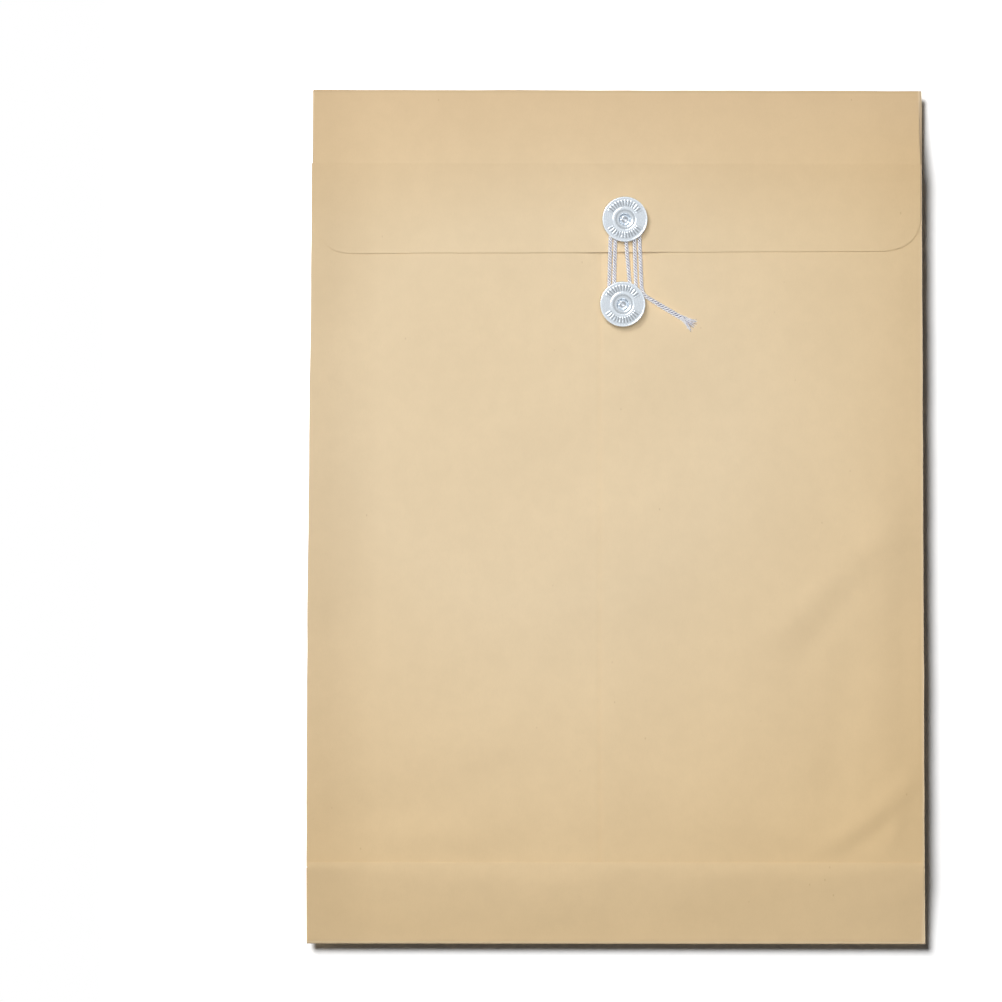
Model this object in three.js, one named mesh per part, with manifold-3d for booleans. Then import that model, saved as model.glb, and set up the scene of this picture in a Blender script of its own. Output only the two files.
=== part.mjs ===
// A gusseted kraft envelope with a string-and-washer closure, lying on its front panel.
//
// Millimetres, +Z up. The origin is the middle of the underside of the front panel.
// +Y points to the top fold, where the closure flap is hinged, and +X to the right
// when the flap side is seen from above.
//
// The paper is one folded blank. It is divided at its folds, so that each panel is a
// solid of its own and each fold is a hinge line. Nested groups follow the folds: a
// group sits on a fold line and is turned by the angle that the paper stands open at.

import * as THREE from 'three';
import { mergeVertices } from 'three/addons/utils/BufferGeometryUtils.js';
import Module from 'manifold-3d';

const wasm = await Module();
wasm.setup();

// The blank
const BODY_WIDTH = 240;
const BODY_LENGTH = 332;
const PLY = 0.2;
const GUSSET_WIDTH = 29;
const FLAP_LENGTH = 63.8;
const FLAP_CREASE = 29;
const FLAP_INSET = 0.8;
const FLAP_CORNER_RADIUS = 14;
const SEAM_OVERLAP = 15.2;
const SEAM_RAMP = 1;
const BOTTOM_FLAP_LIP = 1.8;
const BOTTOM_FLAP_INSET = 0.6;
const BOTTOM_FLAP_START = 1.5;
const BOTTOM_FLAP_SLANT = 3;
const TUCK_MARGIN = 0.8;
const LEAF_SETBACK = 2.5;

// How the folds stand, and the room that they need
const OPEN_ANGLE = THREE.MathUtils.degToRad(8.5);
const LEAF_FOLD_RADIUS = 0.15;
const LEAF_SEAT_GAP = 0.2;
const TOP_FOLD_RADIUS = 0.3;
const BOTTOM_BEND = THREE.MathUtils.degToRad(65);
const BEND_STEPS = 5;
const GLUE_LINE = 0.05;
const RIDGE_GAP = 0.3;
const SEAM_EDGE_GAP = 0.3;

// The closure: a disc, a star-clinched rivet and a reinforcing patch at two places
const UPPER_WASHER_FROM_TOP = 51.2;
const UPPER_WASHER_SIDE = 3;
const WASHER_SPACING = 33;
const LOWER_WASHER_SIDE = 2.2;
const DISC_RADIUS = 8.8;
const DISC_SHEET = 0.35;
const DISC_RIM_HEIGHT = 0.3;
const DISC_RIM_WIDTH = 0.7;
const DISC_RUNNING_GAP = 0.1;
const CUP_FLOOR_RADIUS = 2.4;
const CUP_WALL_RADIUS = 2.6;
const CUP_MOUTH_RADIUS = 3.75;
const CUP_DEPTH = 2.4;
const CUP_FLARE_HEIGHT = 0.6;
const CUP_FLOOR_INSET = 0.25;
const FLARE_INSET = 0.14;
const RIVET_RADIUS = 1.25;
const RIVET_BORE_RADIUS = 0.6;
const RIVET_HEAD_RADIUS = 3;
const RIVET_HEAD_FACE_RADIUS = 2.55;
const RIVET_HEAD_HEIGHT = 0.3;
const RIVET_RUNNING_GAP = 0.09;
const PETAL_COUNT = 6;
const PETAL_CLEARANCE = 0.1;
const PETAL_SHEET = 0.28;
const PETAL_RISE = 0.3;
const PETAL_SHOULDER_DROP = 0.12;
const PETAL_LIP_DROP = 0.09;
const PETAL_SLIT = 0.45;
const PATCH_RADIUS = 7;
const PATCH_THICKNESS = 0.3;
const HEAD_CLEARANCE = 0.25;
const DISC_SIDES = 48;
const RIVET_SIDES = 24;
const FLARE_STEPS = 4;
const RIM_STEPS = 6;
const CUTTER_MARGIN = 1;
const SLIT_MARGIN = 0.02;

// The string
const STRING_DIAMETER = 1.5;
const STRING_PITCH = 1.92;
const STRING_TO_CUP = 0.15;
const STRING_TO_PAPER = 0.35;
const LOWER_STRING_LIFT = 0.15;
const STRING_SIDES = 6;
const HALF_TURN_STEPS = 12;
const RUN_STEPS = 3;
const LAST_BEND_STEPS = 5;
const END_GAP = 0.3;
const TAIL_SIDES = 8;
const TAIL_STEPS = 10;
const TAIL_SETTLING_POINTS = 2;
const TUFT_SIDES = 6;
const TUFT_ROOT_RADIUS = 0.58;
const TUFT_TIP_RADIUS = 0.22;
const GAP_SAMPLE_SPACING = 0.5;
const GAP_NEIGHBOUR_DIAMETERS = 4;

// The last bend of the string and its tail, as distances from the lower washer's centre
const BEND_START = new THREE.Vector2(7.4, 6.9);
const BEND_CORNER = new THREE.Vector2(7.4, 4.1);
const BEND_END = new THREE.Vector2(9.8, 2.7);
const TAIL_POINTS = [[12.2, 1.25], [15.6, -0.8], [19.5, -3.1], [23.2, -5.3]];
const TUFT_TIPS = [[28.8, -6.5], [28.2, -8.4], [26.6, -10.2]];

const kraftLight = { color: 0xd9bf97, roughness: 0.85, metalness: 0 };
const kraftInside = { color: 0xcfb48a, roughness: 0.9, metalness: 0 };
const patchCard = { color: 0xc7a878, roughness: 0.9, metalness: 0 };
const stampedAluminium = { color: 0xdfe3e6, roughness: 0.35, metalness: 1 };
const rivetAluminium = { color: 0xc6cbd0, roughness: 0.3, metalness: 1 };
const whiteString = { color: 0xe9ebf5, roughness: 0.9, metalness: 0 };

const alongX = new THREE.Matrix4().makeBasis(
  new THREE.Vector3(0, 1, 0),
  new THREE.Vector3(0, 0, 1),
  new THREE.Vector3(1, 0, 0),
);
const alongY = new THREE.Matrix4().makeBasis(
  new THREE.Vector3(1, 0, 0),
  new THREE.Vector3(0, 0, 1),
  new THREE.Vector3(0, -1, 0),
);

function named(name, geometry, finish) {
  const mesh = new THREE.Mesh(geometry, new THREE.MeshStandardMaterial(finish));
  mesh.name = name;
  return mesh;
}

function foldGroup(parent, x, y, z) {
  const group = new THREE.Group();
  group.position.set(x, y, z);
  parent.add(group);
  return group;
}

function polygon(points) {
  return new THREE.Shape(points.map(([x, y]) => new THREE.Vector2(x, y)));
}

function plate(outline, low, high) {
  const geometry = new THREE.ExtrudeGeometry(outline, { depth: high - low, bevelEnabled: false });
  return geometry.translate(0, 0, low);
}

// A profile drawn in (y, z), extruded along X about x = 0.
function profileAlongX(outline, width) {
  const geometry = new THREE.ExtrudeGeometry(outline, { depth: width, bevelEnabled: false });
  return geometry.translate(0, 0, -width / 2).applyMatrix4(alongX);
}

// A profile drawn in (x, z), extruded along Y from low to high.
function profileAlongY(outline, low, high) {
  const geometry = new THREE.ExtrudeGeometry(outline, { depth: high - low, bevelEnabled: false });
  return geometry.translate(0, 0, -high).applyMatrix4(alongY);
}

function solidOf(geometry) {
  const bare = geometry.index ? geometry.toNonIndexed() : geometry.clone();
  for (const attribute of ['normal', 'uv']) {
    bare.deleteAttribute(attribute);
  }
  const merged = mergeVertices(bare, 1e-4);
  return new wasm.Manifold(new wasm.Mesh({
    numProp: 3,
    vertProperties: new Float32Array(merged.attributes.position.array),
    triVerts: new Uint32Array(merged.index.array),
  }));
}

function geometryOf(solid) {
  const mesh = solid.getMesh();
  const geometry = new THREE.BufferGeometry();
  geometry.setAttribute('position', new THREE.BufferAttribute(mesh.vertProperties, 3));
  geometry.setIndex(new THREE.BufferAttribute(mesh.triVerts, 1));
  return geometry;
}

// A round cutter standing along Z.
function drill(x, y, radius, low, high) {
  const cutter = new THREE.CylinderGeometry(radius, radius, high - low, RIVET_SIDES);
  return solidOf(cutter.rotateX(Math.PI / 2).translate(x, y, (low + high) / 2));
}

// Heights and places that follow from the sizes above

const halfWidth = BODY_WIDTH / 2;
const halfLength = BODY_LENGTH / 2;
const leafWidth = GUSSET_WIDTH / 2;
const leafPitch = PLY + 2 * LEAF_FOLD_RADIUS;
const leafReach = LEAF_FOLD_RADIUS + PLY;
const openCos = Math.cos(OPEN_ANGLE);
const openSin = Math.sin(OPEN_ANGLE);

// The bottom fold is as round as the two gusset leaves in it are thick, so that the back
// panel lies just above the inner leaves whatever angle the gusset stands at.
const bottomFoldRadius = (LEAF_SEAT_GAP + LEAF_FOLD_RADIUS + (leafPitch + leafReach) * openCos)
  / (1 + openCos);
const bottomFoldY = -halfLength + bottomFoldRadius + PLY;
const bottomFoldZ = PLY + bottomFoldRadius;
const ridgeY = bottomFoldY + GUSSET_WIDTH * openCos - bottomFoldRadius * openSin;
const ridgeZ = bottomFoldZ + GUSSET_WIDTH * openSin + bottomFoldRadius * openCos;

const seamStep = PLY + GLUE_LINE;
const backOuterZ = ridgeZ + seamStep + PLY;
const underFlapStack = GLUE_LINE + PATCH_THICKNESS + RIVET_HEAD_HEIGHT + HEAD_CLEARANCE;
const creaseY = halfLength - FLAP_CREASE;
const creaseZ = backOuterZ + underFlapStack;
const flapOuterZ = creaseZ + PLY;
const topFoldY = halfLength;
const topFoldZ = PLY + TOP_FOLD_RADIUS;
const flapEdgeY = halfLength - FLAP_LENGTH;

// The closure follows the top fold, and the lower washer keeps its distance to the upper.
const upperWasher = new THREE.Vector2(UPPER_WASHER_SIDE, halfLength - UPPER_WASHER_FROM_TOP);
const lowerWasher = new THREE.Vector2(LOWER_WASHER_SIDE, upperWasher.y - WASHER_SPACING);
const holeRadius = RIVET_RADIUS + RIVET_RUNNING_GAP;
const cupFloorInside = CUP_FLOOR_RADIUS - CUP_FLOOR_INSET;
const petalRadius = cupFloorInside - PETAL_CLEARANCE;

// The string lies a little above the flap at the upper washer and above the back panel at
// the lower one. Its tail lies on the back panel beside the seam.
const innerLoopRadius = CUP_WALL_RADIUS + STRING_TO_CUP + STRING_DIAMETER / 2;
const outerLoopRadius = innerLoopRadius + STRING_PITCH;
const stringLift = STRING_DIAMETER / 2 + STRING_TO_PAPER;
const upperStringZ = flapOuterZ + stringLift;
const lowerStringZ = backOuterZ + stringLift + LOWER_STRING_LIFT;
const tailZ = ridgeZ + PLY + stringLift;

function makeFrontPanel() {
  const outline = polygon([
    [-halfWidth, -halfLength],
    [halfWidth, -halfLength],
    [halfWidth, halfLength],
    [-halfWidth, halfLength],
  ]);
  return named('front_panel', plate(outline, 0, PLY), kraftLight);
}

// One side gusset: two leaves that fold back on each other at the inner fold. Their lower
// ends are cut at 45 degrees, where the corner of the bottom is tucked in.
function addGusset(root, side, sideName) {
  const outerFold = foldGroup(root, side * (halfWidth - leafReach), 0, PLY + LEAF_FOLD_RADIUS);
  outerFold.rotation.y = side * OPEN_ANGLE;
  const outerLow = -halfLength + LEAF_SETBACK;
  const outerLeaf = polygon([
    [0, outerLow],
    [-side * leafWidth, outerLow + leafWidth],
    [-side * leafWidth, creaseY],
    [0, creaseY],
  ]);
  const low = LEAF_FOLD_RADIUS;
  outerFold.add(named(`${sideName}_outer_leaf`, plate(outerLeaf, low, leafReach), kraftInside));

  const innerFold = foldGroup(outerFold, -side * leafWidth, 0, leafPitch);
  innerFold.rotation.y = -2 * side * OPEN_ANGLE;
  const innerLow = outerLow + leafWidth;
  const innerLeaf = polygon([
    [0, innerLow],
    [side * leafWidth, innerLow + leafWidth],
    [side * leafWidth, creaseY],
    [0, creaseY],
  ]);
  innerFold.add(named(`${sideName}_inner_leaf`, plate(innerLeaf, low, leafReach), kraftInside));
}

// The band that becomes the floor of the opened envelope, with its rounded bottom fold.
function makeBaseBand() {
  const outline = new THREE.Shape();
  const inner = bottomFoldRadius;
  const outer = bottomFoldRadius + PLY;
  outline.moveTo(GUSSET_WIDTH, inner);
  outline.lineTo(GUSSET_WIDTH, outer);
  outline.lineTo(0, outer);
  for (let step = 1; step <= BEND_STEPS; step += 1) {
    const angle = Math.PI / 2 + BOTTOM_BEND * step / BEND_STEPS;
    outline.lineTo(outer * Math.cos(angle), outer * Math.sin(angle));
  }
  for (let step = BEND_STEPS; step >= 0; step -= 1) {
    const angle = Math.PI / 2 + BOTTOM_BEND * step / BEND_STEPS;
    outline.lineTo(inner * Math.cos(angle), inner * Math.sin(angle));
  }
  return named('base_band', profileAlongX(outline, BODY_WIDTH), kraftLight);
}

// The outer ply pasted over the band. Its long edge is the line across the lower back.
function makeBottomFlap() {
  const wide = halfWidth - BOTTOM_FLAP_INSET;
  const high = GUSSET_WIDTH + BOTTOM_FLAP_LIP;
  const outline = polygon([
    [-wide, BOTTOM_FLAP_START],
    [wide, BOTTOM_FLAP_START],
    [wide, high - BOTTOM_FLAP_SLANT],
    [wide - BOTTOM_FLAP_INSET, high],
    [-wide + BOTTOM_FLAP_INSET, high],
    [-wide, high - BOTTOM_FLAP_SLANT],
  ]);
  const low = bottomFoldRadius + PLY + seamStep + GLUE_LINE;
  return named('bottom_flap', plate(outline, low, low + PLY), kraftLight);
}

// The corner of the gusset, folded double into a triangle and pasted under the band.
function makeTuck(side, sideName) {
  const outline = polygon([
    [side * halfWidth, TUCK_MARGIN],
    [side * halfWidth, GUSSET_WIDTH - TUCK_MARGIN],
    [side * (halfWidth - leafWidth + TUCK_MARGIN), leafWidth],
  ]);
  const high = bottomFoldRadius - GLUE_LINE;
  return named(`${sideName}_bottom_tuck`, plate(outline, high - 2 * PLY, high), kraftInside);
}

function makeBackLeftPanel() {
  const outline = polygon([
    [-halfWidth, RIDGE_GAP],
    [SEAM_OVERLAP / 2, RIDGE_GAP],
    [SEAM_OVERLAP / 2, creaseY - ridgeY],
    [-halfWidth, creaseY - ridgeY],
  ]);
  const hole = drill(lowerWasher.x, lowerWasher.y - ridgeY, holeRadius, -CUTTER_MARGIN, PLY + CUTTER_MARGIN);
  const panel = solidOf(plate(outline, 0, PLY)).subtract(hole);
  return named('back_left_panel', geometryOf(panel), kraftLight);
}

// The right half steps up over the left one along the centre seam.
function makeBackRightPanel() {
  const foot = SEAM_OVERLAP / 2 + SEAM_EDGE_GAP;
  const outline = polygon([
    [-SEAM_OVERLAP / 2, seamStep],
    [foot, seamStep],
    [foot + SEAM_RAMP, 0],
    [halfWidth, 0],
    [halfWidth, PLY],
    [foot + SEAM_RAMP, PLY],
    [foot, seamStep + PLY],
    [-SEAM_OVERLAP / 2, seamStep + PLY],
  ]);
  const high = seamStep + PLY + CUTTER_MARGIN;
  const hole = drill(lowerWasher.x, lowerWasher.y - ridgeY, holeRadius, -CUTTER_MARGIN, high);
  const panel = solidOf(profileAlongY(outline, RIDGE_GAP, creaseY - ridgeY)).subtract(hole);
  return named('back_right_panel', geometryOf(panel), kraftLight);
}

// The flap slopes up from the top fold to its crease, then lies along the back panel.
function makeFlap() {
  const reach = new THREE.Vector2(topFoldY - creaseY, creaseZ - topFoldZ);
  const rootLength = Math.sqrt(reach.lengthSq() - TOP_FOLD_RADIUS ** 2);
  const slope = Math.atan2(reach.y, reach.x) - Math.atan2(TOP_FOLD_RADIUS, rootLength);
  const outer = TOP_FOLD_RADIUS + PLY;
  const profile = polygon([
    [0, TOP_FOLD_RADIUS / Math.cos(slope)],
    [-reach.x, reach.y],
    [flapEdgeY - topFoldY, reach.y],
    [flapEdgeY - topFoldY, reach.y + PLY],
    [-reach.x + PLY * Math.tan(slope / 2), reach.y + PLY],
    [0, outer / Math.cos(slope)],
  ]);
  const wide = halfWidth - FLAP_INSET;
  const low = flapEdgeY - topFoldY;
  const round = FLAP_CORNER_RADIUS;
  const outline = new THREE.Shape();
  outline.moveTo(wide, outer);
  outline.lineTo(-wide, outer);
  outline.lineTo(-wide, low + round);
  outline.absarc(-wide + round, low + round, round, Math.PI, Math.PI * 1.5, false);
  outline.absarc(wide - round, low + round, round, Math.PI * 1.5, Math.PI * 2, false);
  const sheet = solidOf(profileAlongX(profile, BODY_WIDTH));
  const top = reach.y + CUTTER_MARGIN;
  const blank = solidOf(plate(outline, -CUTTER_MARGIN, top));
  const hole = drill(upperWasher.x, upperWasher.y - topFoldY, holeRadius, 0, top);
  return named('flap', geometryOf(sheet.intersect(blank).subtract(hole)), kraftLight);
}

// The stamped disc, from its bore outwards and back: a flat floor on the paper, a steep
// wall that the string winds round, a flared mouth, and a flange with a turned rim.
function makeDisc(name) {
  const under = DISC_RUNNING_GAP + CUP_DEPTH - DISC_SHEET;
  const top = under + DISC_SHEET;
  const wallTop = under - CUP_FLARE_HEIGHT;
  const floorTop = DISC_RUNNING_GAP + DISC_SHEET;
  const rimIn = DISC_RADIUS - DISC_RIM_WIDTH;
  const profile = [
    [holeRadius, DISC_RUNNING_GAP],
    [CUP_FLOOR_RADIUS, DISC_RUNNING_GAP],
    [CUP_WALL_RADIUS, wallTop],
    ...flare(CUP_WALL_RADIUS, wallTop, CUP_MOUTH_RADIUS, under),
    [rimIn, under],
    ...rim(rimIn, under, top),
    ...flare(CUP_WALL_RADIUS, wallTop, CUP_MOUTH_RADIUS, under).reverse()
      .map(([radius, height]) => [radius - FLARE_INSET, height + DISC_SHEET]),
    [CUP_WALL_RADIUS - DISC_SHEET, wallTop],
    [cupFloorInside, floorTop],
    [holeRadius, floorTop],
    [holeRadius, DISC_RUNNING_GAP],
  ];
  return named(name, revolve(profile, DISC_SIDES), stampedAluminium);
}

function revolve(profile, segments) {
  const points = profile.map(([radius, height]) => new THREE.Vector2(radius, height));
  return new THREE.LatheGeometry(points, segments).rotateX(Math.PI / 2);
}

// A quarter of an ellipse from the top of a wall out to the flange.
function flare(wallRadius, wallTop, mouthRadius, flangeHeight) {
  const points = [];
  for (let step = 1; step <= FLARE_STEPS; step += 1) {
    const angle = step / FLARE_STEPS * Math.PI / 2;
    points.push([
      mouthRadius - (mouthRadius - wallRadius) * Math.cos(angle),
      wallTop + (flangeHeight - wallTop) * Math.sin(angle),
    ]);
  }
  return points;
}

// The turned rim stands up from the flange as a round bead.
function rim(inner, under, top) {
  const middle = (inner + DISC_RADIUS) / 2;
  const half = (DISC_RADIUS - inner) / 2;
  const points = [[DISC_RADIUS - FLARE_INSET, under], [DISC_RADIUS, (under + top) / 2]];
  for (let step = 1; step < RIM_STEPS; step += 1) {
    const angle = step / RIM_STEPS * Math.PI;
    points.push([middle + half * Math.cos(angle), top + DISC_RIM_HEIGHT * Math.sin(angle)]);
  }
  return [...points, [inner, top]];
}

// The rivet: a head inside, a barrel through the paper and the disc, and petals that are
// clinched out over the floor of the cup. stack is the paper and patch that it holds.
function makeRivet(name, stack) {
  const seat = DISC_RUNNING_GAP + DISC_SHEET + DISC_RUNNING_GAP;
  const crown = seat + PETAL_SHEET + PETAL_RISE;
  const profile = [
    [0, -stack - RIVET_HEAD_HEIGHT],
    [RIVET_HEAD_FACE_RADIUS, -stack - RIVET_HEAD_HEIGHT],
    [RIVET_HEAD_RADIUS, -stack - RIVET_HEAD_HEIGHT / 2],
    [RIVET_HEAD_RADIUS, -stack - GLUE_LINE],
    [RIVET_RADIUS, -stack - GLUE_LINE],
    [RIVET_RADIUS, seat],
    [petalRadius, seat],
    [petalRadius, seat + PETAL_SHEET / 2],
    [(RIVET_RADIUS + petalRadius) / 2, crown - PETAL_SHOULDER_DROP],
    [(RIVET_RADIUS + RIVET_BORE_RADIUS) / 2, crown],
    [RIVET_BORE_RADIUS, crown - PETAL_LIP_DROP],
    [RIVET_BORE_RADIUS, -stack],
    [0, -stack],
  ];
  let rivet = solidOf(revolve(profile, RIVET_SIDES));
  for (let petal = 0; petal < PETAL_COUNT; petal += 1) {
    const slit = polygon([
      [(RIVET_RADIUS + RIVET_BORE_RADIUS) / 2, 0],
      [petalRadius + CUTTER_MARGIN, -PETAL_SLIT],
      [petalRadius + CUTTER_MARGIN, PETAL_SLIT],
    ]);
    const wedge = plate(slit, seat + SLIT_MARGIN, crown + CUTTER_MARGIN);
    wedge.rotateZ(2 * Math.PI * (petal + 0.5) / PETAL_COUNT);
    rivet = rivet.subtract(solidOf(wedge));
  }
  return named(name, geometryOf(rivet), rivetAluminium);
}

// A round card patch that spreads the pull of the rivet, pasted inside.
function makePatch(name, plies) {
  const outline = new THREE.Shape();
  outline.absarc(0, 0, PATCH_RADIUS, 0, 2 * Math.PI, false);
  const hole = new THREE.Path();
  hole.absarc(0, 0, holeRadius, 0, 2 * Math.PI, true);
  outline.holes.push(hole);
  const high = -plies - GLUE_LINE;
  return named(name, plate(outline, high - PATCH_THICKNESS, high), patchCard);
}

// Adds a washer's rivet, patch and disc to the paper that carries them.
function addWasher(parent, prefix, x, y, surfaceZ, plies) {
  const place = foldGroup(parent, x, y, surfaceZ);
  place.add(makeDisc(`${prefix}_disc`));
  place.add(makeRivet(`${prefix}_rivet`, plies + GLUE_LINE + PATCH_THICKNESS));
  place.add(makePatch(`${prefix}_patch`, plies));
}

// The string's route, seen from above. It starts under the upper disc, runs down to the
// lower one and winds clockwise round both cups, one pitch further out each time round.

function straightRun(from, fromRadius, to, toRadius) {
  const span = to.clone().sub(from);
  const reach = span.length();
  const ahead = span.divideScalar(reach);
  const aside = new THREE.Vector2(-ahead.y, ahead.x);
  const lean = Math.asin((fromRadius - toRadius) / reach);
  const normal = ahead.clone().multiplyScalar(Math.sin(lean))
    .add(aside.multiplyScalar(Math.cos(lean)));
  const start = from.clone().add(normal.clone().multiplyScalar(fromRadius));
  const end = to.clone().add(normal.clone().multiplyScalar(toRadius));
  return { start, end, bearing: normal.angle() };
}

function halfTurn(centre, radius, arriving, leaving) {
  let sweep = arriving - leaving;
  while (sweep <= 0) {
    sweep += 2 * Math.PI;
  }
  const points = [];
  for (let step = 0; step <= HALF_TURN_STEPS; step += 1) {
    const angle = arriving - sweep * step / HALF_TURN_STEPS;
    points.push(new THREE.Vector2(
      centre.x + radius * Math.cos(angle),
      centre.y + radius * Math.sin(angle),
    ));
  }
  return points;
}

function between(start, end) {
  const points = [];
  for (let step = 1; step < RUN_STEPS; step += 1) {
    points.push(start.clone().lerp(end, step / RUN_STEPS));
  }
  return points;
}

function windingRoute() {
  const anchorReach = CUP_WALL_RADIUS + END_GAP;
  const anchor = new THREE.Vector2(upperWasher.x, upperWasher.y - anchorReach);
  const bendStart = lowerWasher.clone().add(BEND_START);
  const down1 = straightRun(anchor, 0, lowerWasher, innerLoopRadius);
  const up1 = straightRun(lowerWasher, innerLoopRadius, upperWasher, innerLoopRadius);
  const down2 = straightRun(upperWasher, innerLoopRadius, lowerWasher, outerLoopRadius);
  const up2 = straightRun(lowerWasher, outerLoopRadius, upperWasher, outerLoopRadius);
  const down3 = straightRun(upperWasher, outerLoopRadius, bendStart, 0);
  const bend = new THREE.QuadraticBezierCurve(
    bendStart,
    lowerWasher.clone().add(BEND_CORNER),
    lowerWasher.clone().add(BEND_END),
  );
  return [
    anchor,
    ...between(down1.start, down1.end),
    ...halfTurn(lowerWasher, innerLoopRadius, down1.bearing, up1.bearing),
    ...between(up1.start, up1.end),
    ...halfTurn(upperWasher, innerLoopRadius, up1.bearing, down2.bearing),
    ...between(down2.start, down2.end),
    ...halfTurn(lowerWasher, outerLoopRadius, down2.bearing, up2.bearing),
    ...between(up2.start, up2.end),
    ...halfTurn(upperWasher, outerLoopRadius, up2.bearing, down3.bearing),
    ...between(down3.start, down3.end),
    ...bend.getPoints(LAST_BEND_STEPS),
  ];
}

// The string is level within the reach of each disc and climbs between the two, clear of
// the flap's edge.
function stringHeight(y) {
  const low = lowerWasher.y + DISC_RADIUS;
  const high = upperWasher.y - DISC_RADIUS;
  const share = (y - low) / (high - low);
  return THREE.MathUtils.lerp(lowerStringZ, upperStringZ, THREE.MathUtils.clamp(share, 0, 1));
}

// A closed round tube through the points, with flat ends.
function tube(points, radius, sides) {
  const position = [];
  const index = [];
  const tangent = new THREE.Vector3();
  const across = new THREE.Vector3();
  const upward = new THREE.Vector3();
  points.forEach((point, number) => {
    const before = points[Math.max(number - 1, 0)];
    const after = points[Math.min(number + 1, points.length - 1)];
    tangent.subVectors(after, before).normalize();
    across.crossVectors(tangent, new THREE.Vector3(0, 0, 1)).normalize();
    upward.crossVectors(across, tangent);
    for (let side = 0; side < sides; side += 1) {
      const angle = 2 * Math.PI * side / sides;
      const place = point.clone()
        .addScaledVector(across, radius * Math.cos(angle))
        .addScaledVector(upward, radius * Math.sin(angle));
      position.push(place.x, place.y, place.z);
    }
  });
  for (let ring = 0; ring < points.length - 1; ring += 1) {
    for (let side = 0; side < sides; side += 1) {
      const next = (side + 1) % sides;
      const a = ring * sides + side;
      const b = ring * sides + next;
      index.push(a, b + sides, b, a, a + sides, b + sides);
    }
  }
  const last = (points.length - 1) * sides;
  for (let side = 1; side < sides - 1; side += 1) {
    index.push(0, side, side + 1, last, last + side + 1, last + side);
  }
  const geometry = new THREE.BufferGeometry();
  geometry.setAttribute('position', new THREE.Float32BufferAttribute(position, 3));
  geometry.setIndex(index);
  return geometry;
}

// The least clear distance between stretches of the string that aren't neighbours on it.
function leastGapToItself(points, diameter) {
  const curve = new THREE.CurvePath();
  for (let number = 1; number < points.length; number += 1) {
    curve.add(new THREE.LineCurve3(points[number - 1], points[number]));
  }
  const length = curve.getLength();
  const samples = curve.getSpacedPoints(Math.round(length / GAP_SAMPLE_SPACING));
  const skipped = Math.ceil(GAP_NEIGHBOUR_DIAMETERS * diameter / GAP_SAMPLE_SPACING);
  let least = Infinity;
  for (let first = 0; first < samples.length; first += 1) {
    for (let second = first + skipped; second < samples.length; second += 1) {
      least = Math.min(least, samples[first].distanceTo(samples[second]) - diameter);
    }
  }
  return { least, length };
}

function makeTieString() {
  const points = windingRoute()
    .map((place) => new THREE.Vector3(place.x, place.y, stringHeight(place.y)));
  const { least, length } = leastGapToItself(points, STRING_DIAMETER);
  console.log(`wound string: ${length.toFixed(1)} mm, least gap to itself ${least.toFixed(2)} mm`);
  return named('tie_string', tube(points, STRING_DIAMETER / 2, STRING_SIDES), whiteString);
}

function fromLowerWasher([x, y], z) {
  return new THREE.Vector3(lowerWasher.x + x, lowerWasher.y + y, z);
}

// The loose tail settles from the disc's rim onto the back panel.
function tailRoute() {
  const bendEnd = fromLowerWasher(BEND_END.toArray(), lowerStringZ);
  const heading = BEND_END.clone().sub(BEND_CORNER).normalize();
  const start = bendEnd.clone()
    .add(new THREE.Vector3(heading.x, heading.y, 0).multiplyScalar(END_GAP));
  const rest = TAIL_POINTS.map((place, number) => {
    const settled = Math.min((number + 1) / TAIL_SETTLING_POINTS, 1);
    return fromLowerWasher(place, THREE.MathUtils.lerp(lowerStringZ, tailZ, settled));
  });
  return new THREE.CatmullRomCurve3([start, ...rest]);
}

function makeStringTail() {
  const section = new THREE.Shape();
  const corners = [];
  for (let side = 0; side < TAIL_SIDES; side += 1) {
    const angle = 2 * Math.PI * side / TAIL_SIDES;
    corners.push(new THREE.Vector2(
      STRING_DIAMETER / 2 * Math.cos(angle),
      STRING_DIAMETER / 2 * Math.sin(angle),
    ));
  }
  section.setFromPoints(corners);
  const route = tailRoute();
  console.log(`loose tail: ${route.getLength().toFixed(1)} mm`);
  const geometry = new THREE.ExtrudeGeometry(section, {
    steps: TAIL_STEPS,
    extrudePath: route,
    bevelEnabled: false,
  });
  return named('string_tail', geometry, whiteString);
}

// The cut end has opened into three tufts that spread from one short collar.
function makeStringFray() {
  const route = tailRoute();
  const end = route.getPointAt(1);
  const heading = route.getTangentAt(1);
  const root = end.clone().addScaledVector(heading, END_GAP);
  const collarEnd = root.clone().addScaledVector(heading, STRING_DIAMETER / 2);
  let fray = solidOf(tube([root, collarEnd], STRING_DIAMETER / 2, TAIL_SIDES));
  for (const tip of TUFT_TIPS) {
    fray = fray.add(solidOf(tuft(root, fromLowerWasher(tip, tailZ - STRING_TO_PAPER / 2))));
  }
  return named('string_fray', geometryOf(fray), whiteString);
}

function tuft(root, tip) {
  const span = tip.clone().sub(root);
  const length = span.length();
  const cone = new THREE.CylinderGeometry(TUFT_TIP_RADIUS, TUFT_ROOT_RADIUS, length, TUFT_SIDES);
  const turn = new THREE.Quaternion().setFromUnitVectors(
    new THREE.Vector3(0, 1, 0),
    span.clone().normalize(),
  );
  const middle = root.clone().add(tip).multiplyScalar(0.5);
  return cone.applyQuaternion(turn).translate(middle.x, middle.y, middle.z);
}

const envelope = new THREE.Group();
envelope.add(makeFrontPanel());
addGusset(envelope, -1, 'left');
addGusset(envelope, 1, 'right');

const bottomFold = foldGroup(envelope, 0, bottomFoldY, bottomFoldZ);
bottomFold.rotation.x = OPEN_ANGLE;
bottomFold.add(makeBaseBand(), makeBottomFlap(), makeTuck(-1, 'left'), makeTuck(1, 'right'));

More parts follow.
